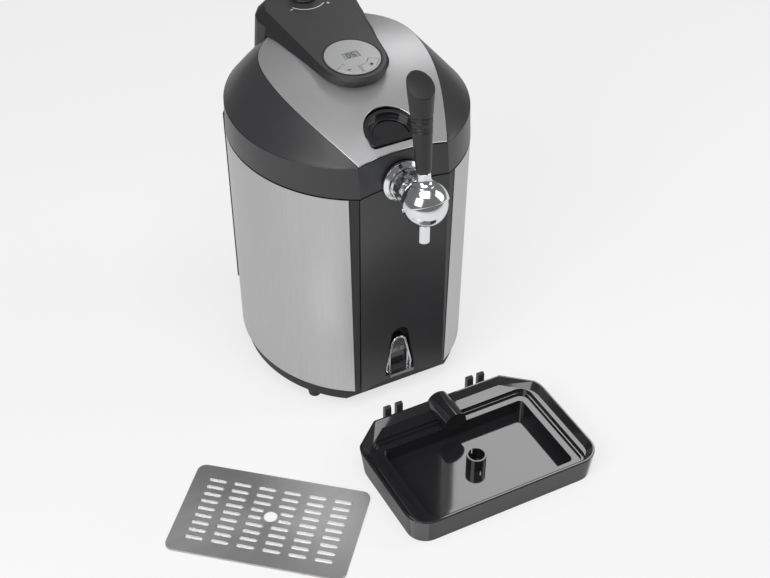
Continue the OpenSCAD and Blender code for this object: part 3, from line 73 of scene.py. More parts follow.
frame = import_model()
RECORD = frame["record"]
BODY_OF = {
    node: body
    for body, nodes in RECORD["behaviour"]["bodies"].items()
    for node in nodes
}
SLOT_OF = {part["node"]: part["material_slot"] for part in RECORD["subparts"]}
JOINTS = {joint["name"]: joint for joint in RECORD["behaviour"]["joints"]}

MM = 0.001
GRATE_TURN = math.radians(40.6)
FACE_TILT = math.atan2(JOINTS["knob_turn"]["axis"][1], JOINTS["knob_turn"]["axis"][2]) * -1
BALL_MIDDLE = Vector(JOINTS["tap_lever"]["pos_m"])
KNOB_MIDDLE = Vector(JOINTS["knob_turn"]["pos_m"])


# ---------- shader helpers ----------


class Field:
    """A value that varies over a surface; arithmetic on it adds Math nodes."""

    def __init__(self, finish, socket):
        self.finish = finish
        self.socket = socket

    def math(self, operation, *values):
        return self.finish.node("ShaderNodeMath", {"operation": operation}, dict(enumerate(values)))

    def __add__(self, other):
        return self.math("ADD", self, other)

    def __mul__(self, other):
        return self.math("MULTIPLY", self, other)


class Finish:
    """A material while it is built: its nodes and the surface shader they feed."""

    def __init__(self, name, colour, roughness, **constants):
        self.material = bpy.data.materials.new(name)
        self.material.use_nodes = True
        self.tree = self.material.node_tree
        self.shader = self.tree.nodes["Principled BSDF"]
        self.material.diffuse_color = (*colour, 1)
        self.put(self.shader, {"Base Color": (*colour, 1), "Roughness": roughness, **constants})

    def put(self, node, inputs):
        """Links or sets the named or numbered sockets of a node."""
        for key, value in inputs.items():
            if isinstance(value, Field):
                self.tree.links.new(value.socket, node.inputs[key])
            else:
                node.inputs[key].default_value = value

    def node(self, kind, settings=None, inputs=None, out=0):
        """Adds a node: its settings first, then its sockets' values or links."""
        made = self.tree.nodes.new(kind)
        for name, value in (settings or {}).items():
            if name == "stops":
                for place, tone in value:
                    made.color_ramp.elements.new(place).color = (*tone, 1)
                made.color_ramp.elements.remove(made.color_ramp.elements[0])
                made.color_ramp.elements.remove(made.color_ramp.elements[-1])
            else:
                setattr(made, name, value)
        self.put(made, inputs or {})
        return Field(self, made.outputs[out])

    def place(self, stretch=(1, 1, 1), turn=(0, 0, 0)):
        """The point on the piece, stretched and turned."""
        point = self.node("ShaderNodeTexCoord", out="Object")
        return self.node("ShaderNodeMapping", None, {"Vector": point, "Scale": stretch, "Rotation": turn})

    def noise(self, scale, stretch=(1, 1, 1), detail=3, turn=(0, 0, 0)):
        """Noise from 0 to 1 at a scale in cells a metre."""
        return self.node(
            "ShaderNodeTexNoise", None,
            {"Vector": self.place(stretch, turn), "Scale": scale, "Detail": detail},
        )

    def tint(self, share, low, high):
        """A colour between two, by a share."""
        return self.node(
            "ShaderNodeMix", {"data_type": "RGBA"},
            {0: share, 6: (*low, 1), 7: (*high, 1)}, out=2,
        )

    def rough(self, height, depth):
        """Raises the surface by a field, to a depth in metres."""
        bump = self.node("ShaderNodeBump", None, {"Height": height, "Distance": depth, "Strength": 1})
        self.put(self.shader, {"Normal": bump})

    def coat(self, **sockets):
        """Sets the shader's sockets, an underscore standing for a space."""
        self.put(self.shader, {key.replace("_", " "): value for key, value in sockets.items()})
        return self


def shade(colour, factor):
    """A lighter or darker tone of a colour."""
    return tuple(min(1, part * factor) for part in colour)


def moulded(name, colour, roughness, grain=0.00002, gloss=0.0):
    """Moulded plastic: a fine spark-eroded grain and slightly uneven gloss."""
    made = Finish(name, colour, roughness)
    grain_field = made.noise(2600, detail=2)
    cloud = made.noise(22)
    made.rough(grain_field, grain)
    made.coat(
        Base_Color=made.tint(cloud, shade(colour, 0.9), shade(colour, 1.12)),
        Roughness=cloud * 0.08 + (grain_field * 0.06 + (roughness - 0.07)),
        Coat_Weight=gloss, Coat_Roughness=0.12,
    )
    return made.material


def brushed(name, colour, roughness, stretch, turn=(0, 0, 0)):
    """Brushed sheet metal: long fine streaks in colour, gloss and height."""
    made = Finish(name, colour, roughness, Metallic=1.0)
    fine = made.noise(1.0, stretch, 4, turn)
    broad = made.noise(0.16, stretch, 2, turn)
    streak = fine * 0.7 + broad * 0.3
    made.rough(streak, 0.000012)
    made.coat(
        Base_Color=made.tint(streak, shade(colour, 0.86), shade(colour, 1.12)),
        Roughness=streak * 0.16 + (roughness - 0.08),
        Anisotropic=0.4,
    )
    return made.material


def painted_metal(name, colour, roughness):
    """Satin silver paint: fine flakes under a thin clear coat."""
    made = Finish(name, colour, roughness, Metallic=0.75)
    flake = made.noise(5200, detail=1)
    cloud = made.noise(14)
    made.rough(flake, 0.000008)
    made.coat(
        Base_Color=made.tint(flake * 0.5 + cloud * 0.5, shade(colour, 0.93), shade(colour, 1.07)),
        Roughness=cloud * 0.06 + (roughness - 0.03),
        Coat_Weight=0.25, Coat_Roughness=0.25,
    )
    return made.material


def polished(name, colour, roughness, haze=0.04):
    """Polished metal with faint wiping haze."""
    made = Finish(name, colour, roughness, Metallic=1.0)
    wipe = made.noise(90, (1, 1, 0.3), 4)
    made.coat(
        Base_Color=made.tint(wipe, shade(colour, 0.97), colour),
        Roughness=wipe * haze + (roughness - haze / 2),
    )
    return made.material


def glossy_moulding(name, colour):
    """High gloss plastic with hairline wear in its gloss."""
    made = Finish(name, colour, 0.08)
    hair = made.noise(1.0, (1400, 160, 700), 3)
    cloud = made.noise(30)
    made.coat(
        Base_Color=made.tint(cloud, shade(colour, 0.9), shade(colour, 1.1)),
        Roughness=hair * 0.06 + (cloud * 0.05 + 0.03),
        Specular_IOR_Level=0.75, Coat_Weight=0.6, Coat_Roughness=0.05,
    )
    return made.material


def cellular(name, colour):
    """Rigid foam: open cells at the cut faces."""
    made = Finish(name, colour, 0.9)
    cell = made.node(
        "ShaderNodeTexVoronoi", {"feature": "F1"}, {"Vector": made.place(), "Scale": 420}, out="Distance"
    )
    cloud = made.noise(60)
    made.rough(cell, 0.0004)
    made.coat(Base_Color=made.tint(cell * 0.6 + cloud * 0.4, shade(colour, 0.8), shade(colour, 1.08)))
    return made.material


def soft_rubber(name, colour):
    """Matt rubber with a dusty sheen."""
    made = Finish(name, colour, 0.75)
    dust = made.noise(700)
    made.rough(dust, 0.00003)
    made.coat(
        Base_Color=made.tint(dust, shade(colour, 0.8), shade(colour, 1.5)),
        Roughness=dust * 0.15 + 0.66,
        Sheen_Weight=0.15,
    )
    return made.material


def board_lacquer(name, colour):
    """Circuit board: solder mask over a grid of copper tracks."""
    made = Finish(name, colour, 0.35)
    track = made.node(
        "ShaderNodeTexBrick", {"offset": 0.35},
        {
            "Vector": made.place(), "Scale": 130, "Mortar Size": 0.09,
            "Color1": (*colour, 1), "Color2": (*shade(colour, 1.15), 1), "Mortar": (*shade(colour, 2.1), 1),
        },
    )
    made.coat(Base_Color=track, Coat_Weight=0.3)
    made.rough(made.noise(500), 0.00002)
    return made.material


def display_glass(name, colour):
    """Window over a reflective grey-green liquid crystal layer."""
    made = Finish(name, colour, 0.18)
    layer = made.noise(240, (1, 3, 1))
    made.coat(
        Base_Color=made.tint(layer, shade(colour, 0.88), shade(colour, 1.1)),
        Coat_Weight=1.0, Coat_Roughness=0.03,
    )
    return made.material


def slot_tone(slot):
    """The colour that the record gives a material slot."""
    return tuple(next(m["base_color"] for m in RECORD["materials"] if m["slot"] == slot))


def make_finishes():
    """All finishes, by the record's slot names and by the names of the extra ones."""
    colours = bpy.context.scene.dispenser_colours
    return {
        "black_plastic": moulded("black_plastic", slot_tone("black_plastic"), 0.48),
        "dark_satin": moulded("dark_satin", slot_tone("dark_satin"), 0.38, gloss=0.15),
        "console_grey": moulded("console_grey", tuple(colours.console), 0.36, 0.000015, 0.25),
        "silver_paint": painted_metal("silver_paint", tuple(colours.silver), 0.36),
        "steel_sheet": brushed("steel_sheet", tuple(colours.steel), 0.34, (1500, 1500, 9)),
        "grate_steel": brushed(
            "grate_steel", tuple(colours.grate), 0.48, (12, 1500, 1500), (0, 0, GRATE_TURN),
        ),
        "chrome_parts": polished("chrome_parts", slot_tone("chrome_parts"), 0.13, 0.06),
        "stainless_bright": polished("stainless_bright", slot_tone("stainless_bright"), 0.22, 0.1),
        "well_aluminium": brushed("well_aluminium", slot_tone("well_aluminium"), 0.4, (120, 120, 900)),
        "gloss_black": glossy_moulding("gloss_black", slot_tone("gloss_black")),
        "handle_black": moulded("handle_black", slot_tone("handle_black"), 0.42, 0.00003),
        "rubber_black": soft_rubber("rubber_black", slot_tone("rubber_black")),
        "brass_parts": polished("brass_parts", slot_tone("brass_parts"), 0.26, 0.12),
        "white_foam": cellular("white_foam", slot_tone("white_foam")),
        "liner_plastic": moulded("liner_plastic", slot_tone("liner_plastic"), 0.3),
        "lcd_glass": display_glass("lcd_glass", tuple(colours.display)),
        "circuit_board": board_lacquer("circuit_board", slot_tone("circuit_board")),
        "ceramic_white": moulded("ceramic_white", slot_tone("ceramic_white"), 0.6, 0.00005),
        "tray_satin": moulded("tray_satin", tuple(colours.tray), 0.4, 0.00003),
        "mark_dark": moulded("mark_dark", tuple(colours.print_dark), 0.5),
        "mark_white": moulded("mark_white", tuple(colours.print_white), 0.5),
        # Painted highlight: a brighter polished metal for edges that catch the light.
        "edge_highlight_metal": polished("edge_highlight_metal", tuple(colours.edge_highlight_metal), 0.2),
        "opener_steel": brushed("opener_steel", tuple(colours.opener), 0.3, (900, 900, 60)),
    }


FINISHES = {}


# ---------- mesh helpers ----------


def new_piece(name, vertices, faces, smooth=35):
    """An object from its points and faces, smooth except where it folds sharply."""
    mesh = bpy.data.meshes.new(name)
    mesh.from_pydata(vertices, [], faces)
    mesh.validate()
    mesh.shade_smooth()
    mesh.set_sharp_from_angle(angle=math.radians(smooth))
    piece = bpy.data.objects.new(name, mesh)
    bpy.context.scene.collection.objects.link(piece)
    return piece


def settle(piece, body, slot, finish=None, nodes=()):
    """Gives a piece its finish and body, and hides the solids it stands for."""
    piece.data.materials.clear()
    piece.data.materials.append(FINISHES[finish or slot])
    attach(piece, body)
    if nodes:
        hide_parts(*nodes)
    return piece


def merged(node):
    """Points and faces of a solid, its loose triangles joined and its flat faces made whole."""
    flat = math.radians(0.8)
    work = bmesh.new()
    work.from_mesh(frame["nodes"][node].data)
    bmesh.ops.remove_doubles(work, verts=work.verts, dist=2e-6)
    bmesh.ops.dissolve_limit(work, angle_limit=flat, verts=work.verts, edges=work.edges)
    work.verts.index_update()
    vertices = [tuple(v.co) for v in work.verts]
    faces = [[v.index for v in face.verts] for face in work.faces]
    work.free()
    return vertices, faces


def dressed(node, edge=0.0, finish=None, smooth=35, segments=2):
    """A smooth copy of a solid with its edges broken, which stands for it."""
    vertices, faces = merged(node)
    piece = new_piece(node + "_shell", vertices, faces, 180 if edge else smooth)
    if edge:
        bevel = piece.modifiers.new("edges", "BEVEL")
        bevel.width = edge
        bevel.segments = segments
        bevel.limit_method = "ANGLE"
        bevel.angle_limit = math.radians(smooth)
        bevel.harden_normals = True
        bevel.use_clamp_overlap = True
    return settle(piece, BODY_OF[node], SLOT_OF[node], finish, [node])


def second_finish(piece, finish, chosen):
    """Gives the faces that a test chooses another finish."""
    piece.data.materials.append(FINISHES[finish])
    for face in piece.data.polygons:
        face.material_index = 1 if chosen(face) else 0


def frame_along(axis):
    """A turn that takes +Z to an axis."""
    return Vector((0, 0, 1)).rotation_difference(Vector(axis)).to_matrix().to_4x4()


def lathe(name, profile, middle, axis=(0, 0, 1), rounds=96, smooth=35):
    """A turned piece from radius and height pairs, closed where the radius is nothing."""
    place = Matrix.Translation(middle) @ frame_along(axis)
    vertices = []
    rings = []
    for radius, height in profile:
        if radius < 1e-7:
            rings.append([len(vertices)] * rounds)
            vertices.append(place @ Vector((0, 0, height)))
            continue
        rings.append([len(vertices) + i for i in range(rounds)])
        for i in range(rounds):
            turn = 2 * math.pi * i / rounds
            vertices.append(place @ Vector((radius * math.cos(turn), radius * math.sin(turn), height)))
    faces = []
    for low, high in zip(rings, rings[1:]):
        for i in range(rounds):
            k = (i + 1) % rounds
            corners = [low[i], low[k], high[k], high[i]]
            face = list(dict.fromkeys(corners))
            if len(face) > 2:
                faces.append(face)
    piece = new_piece(name, vertices, faces, smooth)
    face_out(piece)
    return piece


def millimetres(*pairs):
    """Pairs of sizes given in millimetres."""
    return [(a * MM, b * MM) for a, b in pairs]


def face_out(piece):
    """Joins doubled points and turns every face outwards."""
    work = bmesh.new()
    work.from_mesh(piece.data)
    bmesh.ops.remove_doubles(work, verts=work.verts, dist=1e-7)
    bmesh.ops.recalc_face_normals(work, faces=work.faces)
    work.to_mesh(piece.data)
    work.free()


def arc(radius, start, end, steps):
    """Points on an arc round nought, from one angle in degrees to another."""
    angles = [math.radians(start + (end - start) * i / steps) for i in range(steps + 1)]
    return [(radius * math.cos(a), radius * math.sin(a)) for a in angles]


def prism(name, outline, bottom, top, place, smooth=35):
    """An upright solid over an outline, placed by a matrix."""
    count = len(outline)
    vertices = [place @ Vector((x, y, z)) for z in (bottom, top) for x, y in outline]
    faces = [list(range(count))[::-1], [count + i for i in range(count)]]
    faces += [[i, (i + 1) % count, count + (i + 1) % count, count + i] for i in range(count)]
    piece = new_piece(name, vertices, faces, smooth)
    face_out(piece)
    return piece


def joined(name, pieces):
    """One object from several, in their order."""
    vertices = []
    faces = []
    for piece in pieces:
        start = len(vertices)
        vertices += [tuple(v.co) for v in piece.data.vertices]
        faces += [[start + v for v in face.vertices] for face in piece.data.polygons]
        mesh = piece.data
        bpy.data.objects.remove(piece)
        bpy.data.meshes.remove(mesh)
    return new_piece(name, vertices, faces)


def tube(name, path, radius, sides=12, closed=False):
    """A round bar along a path, its ends closed."""
    vertices = []
    count = len(path)
    side = None
    for i, point in enumerate(path):
        before = path[i - 1] if closed or i else point
        after = path[(i + 1) % count] if closed or i < count - 1 else point
        along = (Vector(after) - Vector(before)).normalized()
        if side is None:
            side = along.orthogonal().normalized()
        side = (side - along * side.dot(along)).normalized()
        other = along.cross(side)
        for j in range(sides):
            turn = 2 * math.pi * j / sides
            vertices.append(Vector(point) + radius * (side * math.cos(turn) + other * math.sin(turn)))
    faces = []
    for i in range(count if closed else count - 1):
        for j in range(sides):
            k = (j + 1) % sides
            low, high = i * sides, (i + 1) % count * sides
            faces.append([low + j, low + k, high + k, high + j])
    if not closed:
        faces += [list(range(sides))[::-1], [(count - 1) * sides + j for j in range(sides)]]
    piece = new_piece(name, vertices, faces, 50)
    face_out(piece)
    return piece


def face_place(y):
    """Places a flat thing on the console's tilted face, over a point of the lid."""
    on_axis = KNOB_MIDDLE + Vector((0, y - KNOB_MIDDLE.y, (y - KNOB_MIDDLE.y) * math.tan(FACE_TILT)))
    return Matrix.Translation(on_axis) @ Matrix.Rotation(FACE_TILT, 4, "X")


# ---------- geometry node helpers ----------


class Repeat:
    """A Geometry Nodes tree that repeats a small form, with named inputs."""

    def __init__(self, name, inputs):
        self.tree = bpy.data.node_groups.new(name, "GeometryNodeTree")
        self.tree.interface.new_socket("Geometry", in_out="INPUT", socket_type="NodeSocketGeometry")
        self.ids = {}
        for label, kind in inputs:
            item = self.tree.interface.new_socket(label, in_out="INPUT", socket_type=kind)
            self.ids[label] = item.identifier
        self.tree.interface.new_socket("Geometry", in_out="OUTPUT", socket_type="NodeSocketGeometry")
        self.entry = self.tree.nodes.new("NodeGroupInput")
        self.exit = self.tree.nodes.new("NodeGroupOutput")

    def value(self, label):
        return self.entry.outputs[label]

    def add(self, kind, settings=None, inputs=None, out=0):
        """Adds a node and gives back one of its outputs."""
        made = self.tree.nodes.new(kind)
        for name, value in (settings or {}).items():
            setattr(made, name, value)
        for key, value in (inputs or {}).items():
            if isinstance(value, bpy.types.NodeSocket):
                self.tree.links.new(value, made.inputs[key])
            else:
                made.inputs[key].default_value = value
        return made.outputs[out]

    def close(self, geometry):
        """Ends the tree in real geometry with its material."""
        real = self.add("GeometryNodeRealizeInstances", None, {0: geometry})
        finish = self.value("Material")
        done = self.add("GeometryNodeSetMaterial", None, {"Geometry": real, "Material": finish})
        self.tree.links.new(done, self.exit.inputs[0])

    def run(self, name, values, base=None):
        """Runs the tree on a mesh of points and returns the result as a plain object."""
        mesh = base or bpy.data.meshes.new(name)
        holder = bpy.data.objects.new(name, mesh)
        bpy.context.scene.collection.objects.link(holder)
        modifier = holder.modifiers.new("repeat", "NODES")
        modifier.node_group = self.tree
        for label, value in values.items():
            modifier[self.ids[label]] = value
        bpy.context.view_layer.update()
        shape = holder.evaluated_get(bpy.context.evaluated_depsgraph_get())
        plain = bpy.data.meshes.new_from_object(shape)
        holder.modifiers.remove(modifier)
        holder.data = plain
        if not plain.polygons:
            raise RuntimeError(f"{name} came out empty")
        return holder


def points_mesh(name, points, lengths=None):
    """A mesh of loose points, each with its own length share."""
    mesh = bpy.data.meshes.new(name)
    mesh.from_pydata(points, [], [])
    if lengths:
        share = mesh.attributes.new("length_share", "FLOAT", "POINT")
        share.data.foreach_set("value", lengths)
    return mesh


# ---------- settings ----------


class DispenserStudio(bpy.types.PropertyGroup):
    """Camera and light."""

    focal: bpy.props.FloatProperty(
        name="Focal Length", description="Focal length of the camera on a 36 mm wide frame",
        default=68.449, unit="CAMERA",
    )
    azimuth: bpy.props.FloatProperty(
        name="Azimuth", description="Direction the camera stands in, from the front",
        default=math.radians(-27.99), subtype="ANGLE",
    )
    elevation: bpy.props.FloatProperty(
        name="Elevation", description="How far the camera looks down",
        default=math.radians(39.31), subtype="ANGLE",
    )
    roll: bpy.props.FloatProperty(
        name="Roll", description="Turn of the camera round its view axis",
        default=math.radians(0.31), subtype="ANGLE",
    )
    stand: bpy.props.FloatVectorProperty(
        name="Camera Place", description="Where the camera stands",
        default=(-0.61639, -1.25272, 1.20747), subtype="TRANSLATION", unit="LENGTH",
    )
    floor_tone: bpy.props.FloatProperty(
        name="Floor Tone", description="Brightness of the floor's own colour", default=0.96, min=0, max=1,
    )
    key_power: bpy.props.FloatProperty(
        name="Main Light", description="Power of the large light on the left", default=19.0, unit="POWER",
    )
    fill_power: bpy.props.FloatProperty(
        name="Fill Light", description="Power of the light on the right", default=10.0, unit="POWER",
    )
    top_power: bpy.props.FloatProperty(
        name="Top Light", description="Power of the light overhead", default=14.0, unit="POWER",
    )
    window_power: bpy.props.FloatProperty(
        name="Window Light", description="Power of the light that the tray mirrors",
        default=3.2, unit="POWER",
    )


class DispenserSizes(bpy.types.PropertyGroup):
    """Sizes of the details that the shells add."""

    soft_edge: bpy.props.FloatProperty(
        name="Soft Edge", description="Rounding of the big mouldings' edges", default=0.9 * MM, unit="LENGTH",
    )
    fine_edge: bpy.props.FloatProperty(
        name="Fine Edge", description="Rounding of small edges", default=0.35 * MM, unit="LENGTH",
    )
    rim_wire: bpy.props.FloatProperty(
        name="Slot Rim", description="Thickness of the pressed rim round a grate slot",
        default=0.45 * MM, unit="LENGTH",
    )
    scale_radius: bpy.props.FloatProperty(
        name="Scale Radius", description="Radius of the printed scale round the knob",
        default=26 * MM, unit="LENGTH",
    )
    knob_ribs: bpy.props.IntProperty(
        name="Knob Ribs", description="Number of grip ribs round the knob", default=36, min=12, max=60,
    )
    mark_height: bpy.props.FloatProperty(
        name="Mark Height", description="How far printed marks stand on their surface",
        default=0.06 * MM, unit="LENGTH",
    )


def tone(label, hint, *default):
    """A colour setting."""
    return bpy.props.FloatVectorProperty(
        name=label, description=hint, default=default, size=3, subtype="COLOR", min=0, max=1,
    )


class DispenserColours(bpy.types.PropertyGroup):
    """Colours that differ from the ones in the record."""

    steel: tone("Wrap Steel", "Brushed steel round the body", 0.56, 0.56, 0.56)
    grate: tone("Grate Steel", "Brushed steel of the grate", 0.6, 0.6, 0.6)
    silver: tone("Silver Panel", "Paint of the lid's top panel", 0.6, 0.6, 0.61)
    # Painted highlight: a brighter polished copy of the metal for the top panel's edges and the grate's slot
    # rims.
    edge_highlight_metal: tone("Panel Edge", "Bright edge of the lid's top panel", 0.85, 0.85, 0.86)
    # The console's upward face, lighter as painted light beside its flanks, which take the darker black
    # plastic as painted shade.
    console: tone("Console", "Face of the console", 0.05, 0.05, 0.053)
    tray: tone("Tray", "Satin outside of the drip tray", 0.045, 0.045, 0.046)
    opener: tone("Opener Plate", "Plate behind the opener's rim", 0.3, 0.3, 0.31)
    display: tone("Display", "Unlit part of the display", 0.34, 0.36, 0.34)
    print_dark: tone("Dark Print", "Digits and button marks", 0.03, 0.03, 0.03)
    print_white: tone("White Print", "Scale round the knob", 0.8, 0.8, 0.8)


def sizes():
    return bpy.context.scene.dispenser_sizes


# ---------- stage ----------


def area_light(name, place, target, size, power):
    """A soft square light that faces a point."""
    lamp = bpy.data.lights.new(name, "AREA")
    lamp.shape = "RECTANGLE"
    lamp.size, lamp.size_y = size
    lamp.energy = power
    holder = bpy.data.objects.new(name, lamp)
    bpy.context.scene.collection.objects.link(holder)
    holder.location = place
    holder.rotation_euler = (Vector(target) - Vector(place)).to_track_quat("-Z", "Y").to_euler()
    return holder


def floor_finish(tone):
    """Pale floor that keeps the object's shadow and turns white towards the camera."""
    made = Finish("floor_white", (tone, tone, tone), 0.85)
    made.coat(Specular_IOR_Level=0.2)
    path = made.tree.nodes.new("ShaderNodeLightPath")
    seen = Field(made, path.outputs["Is Camera Ray"])
    mirrored = Field(made, path.outputs["Is Glossy Ray"])
    share = seen.math("MAXIMUM", seen * 0.7, mirrored * 0.3)
    glow = made.node("ShaderNodeEmission", None, {"Color": (1, 1, 1, 1), "Strength": 1.0})
    body = Field(made, made.shader.outputs[0])
    mixed = made.node("ShaderNodeMixShader", None, {0: share, 1: body, 2: glow})
    output = made.tree.nodes["Material Output"]
    made.tree.links.new(mixed.socket, output.inputs["Surface"])
    return made.material


class DISPENSER_OT_stage(bpy.types.Operator):
    """Sets up the camera, the lights and the pale floor"""

    bl_idname = "dispenser.stage"
    bl_label = "Stage"

    def execute(self, context):
        studio = context.scene.dispenser_studio
        lens = bpy.data.cameras.new("view_camera")
        lens.lens = studio.focal
        lens.sensor_width = 36
        lens.sensor_fit = "HORIZONTAL"
        lens.clip_end = 20
        camera = bpy.data.objects.new("view_camera", lens)
        context.scene.collection.objects.link(camera)
        az, el = studio.azimuth, studio.elevation
        back = Vector((math.sin(az) * math.cos(el), -math.cos(az) * math.cos(el), math.sin(el)))
        level = Vector((math.cos(az), math.sin(az), 0))
        upright = back.cross(level)
        right = level * math.cos(studio.roll) + upright * math.sin(studio.roll)
        up = upright * math.cos(studio.roll) - level * math.sin(studio.roll)
        turn = Matrix((right, up, back)).transposed().to_4x4()
        camera.matrix_world = Matrix.Translation(studio.stand) @ turn
        context.scene.camera = camera
        context.scene.view_settings.view_transform = "Standard"

        reach = 3.0
        corners = [(-reach, -reach, 0), (reach, -reach, 0), (reach, reach, 0), (-reach, reach, 0)]
        floor = new_piece("floor", corners, [[0, 1, 2, 3]])
        floor.data.materials.append(floor_finish(studio.floor_tone))

        world = bpy.data.worlds.new("studio_air")
        context.scene.world = world
        world.use_nodes = True
        nodes, links = world.node_tree.nodes, world.node_tree.links
        air = nodes["Background"]
        air.inputs["Color"].default_value = (1, 1, 1, 1)
        air.inputs["Strength"].default_value = 0.17
        white = nodes.new("ShaderNodeBackground")
        white.inputs["Strength"].default_value = 1.0
        path = nodes.new("ShaderNodeLightPath")
        mix = nodes.new("ShaderNodeMixShader")
        links.new(path.outputs["Is Camera Ray"], mix.inputs[0])
        links.new(air.outputs[0], mix.inputs[1])
        links.new(white.outputs[0], mix.inputs[2])
        links.new(mix.outputs[0], nodes["World Output"].inputs["Surface"])

        target = (0, -0.02, 0.2)
        area_light("key_left", (-1.5, -0.9, 1.5), target, (1.1, 1.1), studio.key_power)
        area_light("fill_right", (1.7, -0.7, 1.2), target, (1.0, 1.4), studio.fill_power)
        area_light("top_panel", (-0.25, -0.55, 2.2), target, (1.5, 1.2), studio.top_power)
        area_light("window_right", (1.28, 1.3, 2.1), (0.07, -0.33, 0), (0.62, 0.52), studio.window_power)
        return {"FINISHED"}


# ---------- body ----------


class DISPENSER_OT_body(bpy.types.Operator):
    """Steel wraps, front panel, trims, base and feet"""

    bl_idname = "dispenser.body"
    bl_label = "Body"

    def execute(self, context):
        for node in ("steel_wrap_left", "steel_wrap_right"):
            dressed(node)
        for node in ("front_panel", "corner_trim"):
            dressed(node, sizes().fine_edge)
        for node in ("base", "feet"):
            dressed(node, sizes().soft_edge)
        dressed("rear_skirt")
        dressed("top_deck", sizes().fine_edge)
        return {"FINISHED"}


class DISPENSER_OT_rear(bpy.types.Operator):
    """Rear cover with its air slots, hinge and mains socket"""

    bl_idname = "dispenser.rear"
    bl_label = "Rear"

    def execute(self, context):
        dressed("rear_cover", sizes().fine_edge)
        dressed("cover_screws", 0.15 * MM)
        for node in ("hinge_brackets", "hinge_leaf", "hinge_pin", "power_inlet"):
            dressed(node, sizes().fine_edge)
        return {"FINISHED"}


# ---------- inside ----------


class DISPENSER_OT_inside(bpy.types.Operator):
    """Well, foam, cooling unit, gas parts and lid lining"""

    bl_idname = "dispenser.inside"
    bl_label = "Inside"

    smooth_nodes = (
        "keg_well", "foam_jacket", "fan_rotor", "lid_liner", "lid_foam", "lid_seal",
        "pressure_regulator", "gas_cartridge", "cartridge_holder", "tap_nut", "tap_stem",
    )
    plain_nodes = (
        "inner_housing", "cold_block", "peltier_module", "heat_sink", "fan_frame",
        "power_board", "display_board",
    )

    def execute(self, context):
        for node in self.smooth_nodes:
            dressed(node)
        for node in self.plain_nodes:
            mesh = frame["nodes"][node].data
            mesh.materials.clear()
            mesh.materials.append(FINISHES[SLOT_OF[node]])
        return {"FINISHED"}


# ---------- lid ----------


class DISPENSER_OT_lid(bpy.types.Operator):
    """Rim, dome, silver panel and latch"""

    bl_idname = "dispenser.lid"
    bl_label = "Lid"

    def execute(self, context):
        dressed("lid_rim", sizes().soft_edge, segments=3)
        dressed("lid_dome", sizes().fine_edge)
        panel = dressed("lid_top_panel", 0.4 * MM)
        # The panel's upright edge faces take the brighter polished metal, a painted highlight.
        second_finish(panel, "edge_highlight_metal", lambda face: abs(face.normal.z) < 0.4)
        dressed("latch_bezel", sizes().fine_edge)
        dressed("latch_button", sizes().soft_edge, segments=3)
        return {"FINISHED"}


# ---------- console ----------


def stroke(place, x, y, wide, high):
    """A flat printed bar on a tilted face."""
    outline = [(x - wide / 2, y - high / 2), (x + wide / 2, y - high / 2),
               (x + wide / 2, y + high / 2), (x - wide / 2, y + high / 2)]
    return prism("bar", outline, 0, sizes().mark_height, place)


SEGMENTS = {"0": "abcdef", "5": "afgcd"}


def digit_bars(digit, x, y, high, bar, place):
    """The lit bars of one seven-bar digit."""
    half = high / 2
    wide = high * 0.5
    bars = {
        "a": (0, half, wide, bar), "g": (0, 0, wide, bar), "d": (0, -half, wide, bar),
        "f": (-wide / 2, half / 2, bar, half), "b": (wide / 2, half / 2, bar, half),
        "e": (-wide / 2, -half / 2, bar, half), "c": (wide / 2, -half / 2, bar, half),
    }
    made = []
    for key in SEGMENTS[digit]:
        bx, by, w, h = bars[key]
        made.append(stroke(place, x + bx, y + by, w * 0.86, h * 0.9))
    return made


